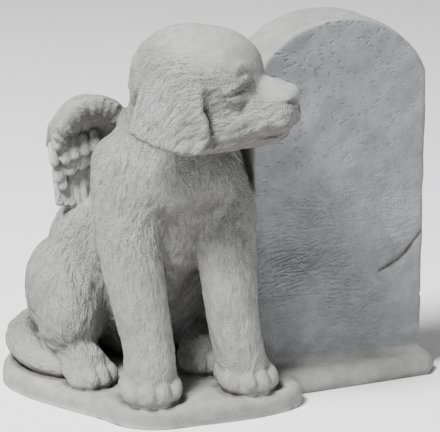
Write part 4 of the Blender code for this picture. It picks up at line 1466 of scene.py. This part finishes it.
@dataclass(frozen=True)
class CastStone:
    """Grey cast stone, dry and matt: mottled, with painted shade in the hollows, in the creases and under
    downturned faces, and pale edges.
    """

    warm: tuple = (0.272, 0.271, 0.267, 1.0)
    cool: tuple = (0.222, 0.225, 0.232, 1.0)
    # The colour that painted shade darkens the stone towards.
    shade_tone: tuple = (0.060, 0.057, 0.051, 1.0)
    pale: tuple = (0.42, 0.42, 0.42, 1.0)
    fur_depth: float = 0.0007
    tuft_depth: float = 0.0011
    hair: tuple = (860.0, 0.0038)
    tuft: tuple = (450.0, 0.0060)
    stroke: tuple = (430.0, 0.0068)
    curl_scale: float = 190.0
    curl: float = 1.2
    pit_scale: float = 265.0
    pit_drift: float = 0.0042
    tick_depth: float = 0.0012
    sand_depth: float = 0.00012
    pore_depth: float = 0.00015
    specular: float = 0.25

    def material(self) -> bpy.types.Material:
        """Return the finish as a material."""
        material = bpy.data.materials.new("cast_stone")
        material.use_nodes = True
        wiring = Wiring(material.node_tree)
        place = wiring.put("ShaderNodeTexCoord").outputs["Object"]
        flow = wiring.own("flow", "Vector")
        masks = {region: wiring.own(region.value, "Fac") for region in Region}
        hollow, worn, under = (wiring.own(name, "Fac") for name in ("hollow", "worn", "under"))
        curl = wiring.put("ShaderNodeTexNoise", {"Vector": place, "Scale": self.curl_scale,
                                                 "Detail": 0.0}).outputs["Color"]
        curl = wiring.vector("SUBTRACT", {0: curl, 1: (0.5, 0.5, 0.5)})
        flow = wiring.vector("MULTIPLY_ADD", {0: curl, 1: (self.curl,) * 3, 2: flow})
        strokes = stroke_group()

        def drawn(scale: float, reach: float) -> bpy.types.NodeSocket:
            """Return strokes of a width and length, as a height from 0 to 1."""
            inputs = {"Place": place, "Flow": flow, "Scale": scale, "Reach": reach}
            return wiring.put("ShaderNodeGroup", inputs, node_tree=strokes).outputs["Height"]

        hairs = drawn(*self.hair)
        tufts = drawn(*self.tuft)
        pits = wiring.ramp(self.pit_cells(wiring, place), 0.08, 0.46, 1.0, 0.0)
        cuts = wiring.ramp(drawn(*self.stroke), 0.0, 0.9, 1.0, 0.0)
        pits = wiring.times(pits, masks[Region.PITS])
        ticks = wiring.calc("MULTIPLY_ADD", cuts, masks[Region.CHISEL], pits)
        grain = wiring.put("ShaderNodeGroup", {"Place": place}, node_tree=grain_group())
        sand, pores = grain.outputs["Sand"], grain.outputs["Pores"]
        height = self.height(wiring, (hairs, tufts, ticks), masks, (sand, pores))
        bump = wiring.put("ShaderNodeBump", {"Strength": 1.0, "Distance": 1.0, "Height": height})
        colour = self.colour(wiring, (hairs, tufts, ticks), masks, (hollow, worn, under), grain)
        shader = wiring.tree.nodes["Principled BSDF"]
        shader.inputs["Specular IOR Level"].default_value = self.specular
        wiring.tree.links.new(colour, shader.inputs["Base Color"])
        rough = wiring.ramp(worn, 0.1, 0.8, 0.94, 0.82)
        wiring.tree.links.new(rough, shader.inputs["Roughness"])
        wiring.tree.links.new(bump.outputs[0], shader.inputs["Normal"])
        return material

    def pit_cells(self, wiring: Wiring, place: bpy.types.NodeSocket) -> bpy.types.NodeSocket:
        """Return the distance to the middle of the nearest pit: slanting, uneven, well apart."""
        drift = wiring.put("ShaderNodeTexNoise", {"Vector": place, "Scale": 260.0,
                                                  "Detail": 1.0}).outputs["Color"]
        moved = wiring.vector("MULTIPLY_ADD", {0: drift, 1: (self.pit_drift,) * 3, 2: place})
        laid = wiring.put("ShaderNodeMapping", {"Vector": moved, "Rotation": (0.0, -0.45, 0.0),
                                                "Scale": (0.62, 0.0, 1.15)}).outputs[0]
        near = wiring.put("ShaderNodeTexVoronoi", {"Vector": laid,
                                                   "Scale": self.pit_scale}).outputs["Distance"]
        gaps = wiring.ramp(wiring.noise(place, 120.0, 0.0), 0.38, 0.52, 0.35, 0.0)
        return wiring.calc("ADD", near, gaps)

    def height(self, wiring: Wiring, marks: tuple, masks: dict, grain: tuple) -> bpy.types.NodeSocket:
        """Return the fine relief in metres.

        Args:
            wiring: The material's nodes.
            marks: Hairs, tufts and ticks.
            masks: The mask of each region.
            grain: Sand and pores.

        Returns:
            The socket with the height.
        """
        hairs, tufts, ticks = marks
        sand, pores = grain
        fur = wiring.times(hairs, self.fur_depth)
        fur = wiring.calc("MULTIPLY_ADD", tufts, self.tuft_depth, fur)
        calm = wiring.ramp(masks[Region.PLUMES], 0.0, 1.0, 1.0, 0.35)
        rough = wiring.ramp(masks[Region.SHAG], 0.0, 1.0, 0.12, 1.0)
        fur = wiring.times(fur, calm, rough, masks[Region.COAT])
        total = wiring.calc("MULTIPLY_ADD", ticks, -self.tick_depth, fur)
        total = wiring.calc("MULTIPLY_ADD", sand, self.sand_depth, total)
        return wiring.calc("MULTIPLY_ADD", pores, -self.pore_depth, total)

    def colour(self, wiring: Wiring, marks: tuple, masks: dict, shade_and_wear: tuple,
               grain: bpy.types.Node) -> bpy.types.NodeSocket:
        """Return the colour of the stone.

        Args:
            wiring: The material's nodes.
            marks: Hairs, tufts and ticks.
            masks: The mask of each region.
            shade_and_wear: Hollows and undersides, which get painted shade, and worn edges.
            grain: The node of the stone's grain.

        Returns:
            The socket with the colour.
        """
        hairs, tufts, ticks = marks
        hollow, worn, under = shade_and_wear
        tone = wiring.blend(masks[Region.FACE], self.warm, self.cool)
        clouds = wiring.ramp(grain.outputs["Clouds"], 0.34, 0.66, 0.91, 1.08)
        blotches = wiring.ramp(grain.outputs["Blotches"], 0.34, 0.66, 0.90, 1.09)
        sand = wiring.ramp(grain.outputs["Sand"], 0.3, 0.7, 0.90, 1.08)
        pores = wiring.ramp(grain.outputs["Pores"], 0.0, 1.0, 1.0, 0.88)
        # Painted shade: darker in the grooves between fur strokes, and a tenth darker in the tool marks.
        shade_between_hairs = wiring.ramp(hairs, 0.0, 0.7, 0.18, 0.0)
        shade_between_tufts = wiring.ramp(tufts, 0.0, 0.6, 0.26, 0.0)
        deep = wiring.calc("ADD", shade_between_hairs, shade_between_tufts)
        deep = wiring.times(deep, wiring.ramp(masks[Region.SHAG], 0.0, 1.0, 0.0, 1.0))
        lit = wiring.calc("SUBTRACT", wiring.calc("SUBTRACT", 1.0, deep), wiring.times(ticks, 0.10))
        value = wiring.times(clouds, blotches, sand, lit, pores)
        grey = wiring.put("ShaderNodeCombineColor", {0: value, 1: value, 2: value}).outputs[0]
        tone = wiring.blend(1.0, tone, grey, "MULTIPLY")
        edge = wiring.times(wiring.ramp(worn, 0.15, 0.7, 0.0, 0.45), blotches)
        tone = wiring.blend(edge, tone, self.pale)
        # Painted shade: darker in closed hollows (mottled, less on the wings), in the creases and on faces
        # that turn down.
        painted_shade = wiring.times(wiring.ramp(hollow, 0.24, 0.80, 0.0, 0.80),
                              wiring.ramp(grain.outputs["Blotches"], 0.3, 0.6, 1.0, 0.75),
                              wiring.ramp(masks[Region.PLUMES], 0.0, 1.0, 1.0, 0.35))
        painted_shade = wiring.calc("MAXIMUM", painted_shade, wiring.ramp(masks[Region.CREASE], 0.2, 1.0, 0.0, 0.66))
        painted_shade = wiring.calc("MAXIMUM", painted_shade, wiring.ramp(under, 0.0, 1.0, 0.0, 0.55))
        return wiring.blend(painted_shade, tone, self.shade_tone)


@dataclass(frozen=True)
class StudioPaper:
    """The plain pale paper that the statue stands on."""

    tone: tuple = (0.93, 0.93, 0.93, 1.0)

    def material(self) -> bpy.types.Material:
        """Return the finish as a material, with the faint mottling of matt paper."""
        material = bpy.data.materials.new("studio_paper")
        material.use_nodes = True
        wiring = Wiring(material.node_tree)
        place = wiring.put("ShaderNodeTexCoord").outputs["Object"]
        rough = wiring.ramp(wiring.noise(place, 4.0), 0.3, 0.7, 0.92, 0.97)
        shader = wiring.tree.nodes["Principled BSDF"]
        shader.inputs["Base Color"].default_value = self.tone
        shader.inputs["Specular IOR Level"].default_value = 0.1
        wiring.tree.links.new(rough, shader.inputs["Roughness"])
        return material


@dataclass(frozen=True)
class Lamp:
    """A square lamp that points at the statue."""

    name: str
    place: Point
    size: float
    power: float
    target: Point = (0.0, 0.0, 0.15)

    def hang(self) -> None:
        """Put the lamp in the scene."""
        data = bpy.data.lights.new(self.name, "AREA")
        data.energy = self.power
        data.size = self.size
        lamp = bpy.data.objects.new(self.name, data)
        lamp.location = self.place
        way = Vector(self.target) - Vector(self.place)
        lamp.rotation_euler = way.to_track_quat("-Z", "Y").to_euler()
        bpy.context.scene.collection.objects.link(lamp)


@dataclass
class Studio:
    """Floor, soft light and the camera at the photograph's angle."""

    azimuth: float = -19.8
    elevation: float = 15.9
    distance: float = 1.700
    target: Point = (35.0, -28.0, 135.0)
    lens: float = 172.39
    sensor: float = 36.0
    floor_size: float = 7.0
    sky: float = 0.26
    lamps: tuple = (Lamp("key_light", (-1.35, -0.58, 2.5), 0.8, 235.0),
                    Lamp("fill_light", (0.9, -2.6, 1.4), 1.8, 4.0))

    def floor(self) -> bpy.types.Object:
        """Return the floor under the statue."""
        form = bmesh.new()
        bmesh.ops.create_grid(form, x_segments=8, y_segments=8, size=0.5 * self.floor_size)
        mesh = bpy.data.meshes.new("floor")
        form.to_mesh(mesh)
        form.free()
        mesh.transform(Matrix.Translation((0.0, 0.0, -0.0002)))
        mesh.materials.append(StudioPaper().material())
        floor = bpy.data.objects.new("floor", mesh)
        bpy.context.scene.collection.objects.link(floor)
        return floor

    def lights(self) -> None:
        """Set up the sky and two large soft lamps."""
        world = bpy.data.worlds.new("studio_sky")
        world.use_nodes = True
        sky = world.node_tree.nodes["Background"]
        sky.inputs["Color"].default_value = (1.0, 1.0, 1.0, 1.0)
        sky.inputs["Strength"].default_value = self.sky
        bpy.context.scene.world = world
        for lamp in self.lamps:
            lamp.hang()

    def camera(self, shift: np.ndarray) -> None:
        """Set the camera where the photograph was taken from.

        Args:
            shift: How the statue was moved from the block, in millimetres.
        """
        data = bpy.data.cameras.new("camera")
        data.lens = self.lens
        data.sensor_width = self.sensor
        data.clip_end = 20.0
        turn, tilt = math.radians(self.azimuth), math.radians(self.elevation)
        back = Vector((math.sin(turn) * math.cos(tilt), -math.cos(turn) * math.cos(tilt), math.sin(tilt)))
        target = Vector(np.array(self.target) - shift) / METRE
        camera = bpy.data.objects.new("camera", data)
        camera.location = target + self.distance * back
        camera.rotation_euler = (-back).to_track_quat("-Z", "Y").to_euler()
        bpy.context.scene.collection.objects.link(camera)
        bpy.context.scene.camera = camera


def main() -> None:
    """Build the statue and the studio in order, and report each."""
    logging.basicConfig(level=logging.INFO, format="%(name)s: %(message)s")
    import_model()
    statue = Statue()
    piece = statue.build(CastStone())
    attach(piece, "root")
    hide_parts("memorial_statue")
    studio = Studio()
    studio.floor()
    studio.lights()
    studio.camera(statue.shift)
    LOG.info("studio: floor, lamps and camera set")
    LOG.info("boxes written")


if __name__ == "__main__":
    main()
